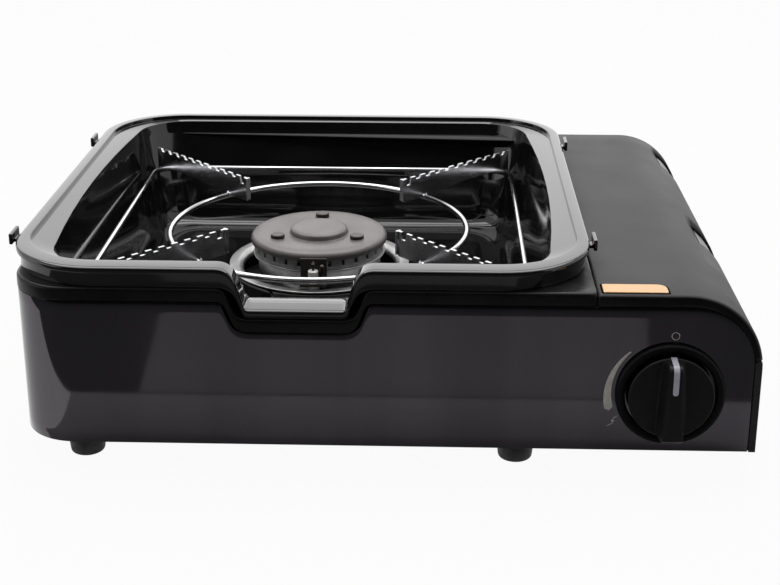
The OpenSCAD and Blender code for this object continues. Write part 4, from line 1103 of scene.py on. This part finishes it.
def flat_piece(name, corners, material):
    """One flat face through its corners."""
    mesh = bpy.data.meshes.new(name)
    mesh.from_pydata(corners, [], [tuple(range(len(corners)))])
    mesh.materials.append(material)
    piece = bpy.data.objects.new(name, mesh)
    scene.collection.objects.link(piece)
    return piece


def seen_as_white(tree):
    """A factor of one for rays from the camera, from mirrors and through glass."""
    rays = tree.nodes.new("ShaderNodeLightPath").outputs
    factor = rays["Is Camera Ray"]
    for kind in ("Is Glossy Ray", "Is Transmission Ray"):
        larger = tree.nodes.new("ShaderNodeMath")
        larger.operation = "MAXIMUM"
        tree.links.new(factor, larger.inputs[0])
        tree.links.new(rays[kind], larger.inputs[1])
        factor = larger.outputs[0]
    return factor


floor_paint = bpy.data.materials.new("white_floor")
floor_paint.use_nodes = True
floor_tree = floor_paint.node_tree
floor_shader = floor_tree.nodes["Principled BSDF"]
floor_shader.inputs["Base Color"].default_value = (0.4, 0.4, 0.4, 1)
floor_shader.inputs["Roughness"].default_value = 0.9
floor_shader.inputs["Specular IOR Level"].default_value = 0.0
glow = floor_tree.nodes.new("ShaderNodeEmission")
blend = floor_tree.nodes.new("ShaderNodeMixShader")
part_white = floor_tree.nodes.new("ShaderNodeMath")
part_white.operation = "MULTIPLY"
part_white.inputs[1].default_value = 0.95
floor_tree.links.new(seen_as_white(floor_tree), part_white.inputs[0])
floor_tree.links.new(part_white.outputs[0], blend.inputs[0])
floor_tree.links.new(floor_shader.outputs[0], blend.inputs[1])
floor_tree.links.new(glow.outputs[0], blend.inputs[2])
floor_tree.links.new(blend.outputs[0], floor_tree.nodes["Material Output"].inputs["Surface"])
flat_piece("floor", [(-4, -4, 0), (4, -4, 0), (4, 4, 0), (-4, 4, 0)], floor_paint)

card_near, card_far = panel_low.y - 0.080, panel_low.y - 0.248
room_side, room_front, card_top = 1.9, -1.3, 1.7
low_z, upper_z = 0.001, 0.002
for name, grey, corners in (
    ("front_floor_card", 0.38, [(-0.2, panel_low.y, low_z), (-0.18, card_near, low_z), (0.36, card_near, low_z),
                                (0.36, panel_low.y, low_z)]),
    ("floor_card", 0.10, [(-room_side, card_near + 0.12, low_z), (-room_side, room_front, low_z),
                          (room_side, room_front, low_z), (0.36, card_near, low_z), (-0.22, card_near, low_z)]),
    ("middle_card", 0.28, [(-0.14, card_near, upper_z), (-0.155, card_far, upper_z), (0.170, card_far, upper_z),
                           (0.149, card_near, upper_z)]),
    ("front_card", 0.03, [(-room_side, room_front, 0), (room_side, room_front, 0), (room_side, room_front, card_top),
                          (-room_side, room_front, card_top)]),
):
    card_paint = {"Base Color": (grey, 0.97 * grey, 1.02 * grey, 1), "Roughness": 1.0, "Specular IOR Level": 0.0}
    material = surface(name + "_paint", card_paint)
    card = flat_piece(name, corners, material)
    card.visible_camera = False
    card.visible_diffuse = False
    card.visible_shadow = False

world = bpy.data.worlds.new("white_room")
scene.world = world
world.use_nodes = True
sky = world.node_tree
level = sky.nodes.new("ShaderNodeMapRange")
level.inputs["To Min"].default_value = 0.22
level.inputs["To Max"].default_value = 1.0
sky.links.new(seen_as_white(sky), level.inputs["Value"])
sky.links.new(level.outputs[0], sky.nodes["Background"].inputs["Strength"])
sky.nodes["Background"].inputs["Color"].default_value = (1, 1, 1, 1)


def soft_box(name, place, target, width, depth, power):
    """A rectangular studio lamp that faces a point."""
    lamp = bpy.data.lights.new(name, "AREA")
    lamp.shape = "RECTANGLE"
    lamp.size, lamp.size_y, lamp.energy = width, depth, power
    box = bpy.data.objects.new(name, lamp)
    scene.collection.objects.link(box)
    box.location = place
    aim = Vector(target) - Vector(place)
    box.rotation_euler = aim.to_track_quat("-Z", "Y").to_euler()
    box.visible_camera = False


soft_box("top_box", (0, 0.35, 1.15), (0, 0.2, 0.1), 1.8, 1.1, 28)
soft_box("rear_box", (0, 2.0, 0.65), (0, 0, 0.1), 3.2, 1.2, 15)
soft_box("left_box", (-1.7, -0.5, 0.4), (0, 0, 0.1), 1.6, 0.9, 3)
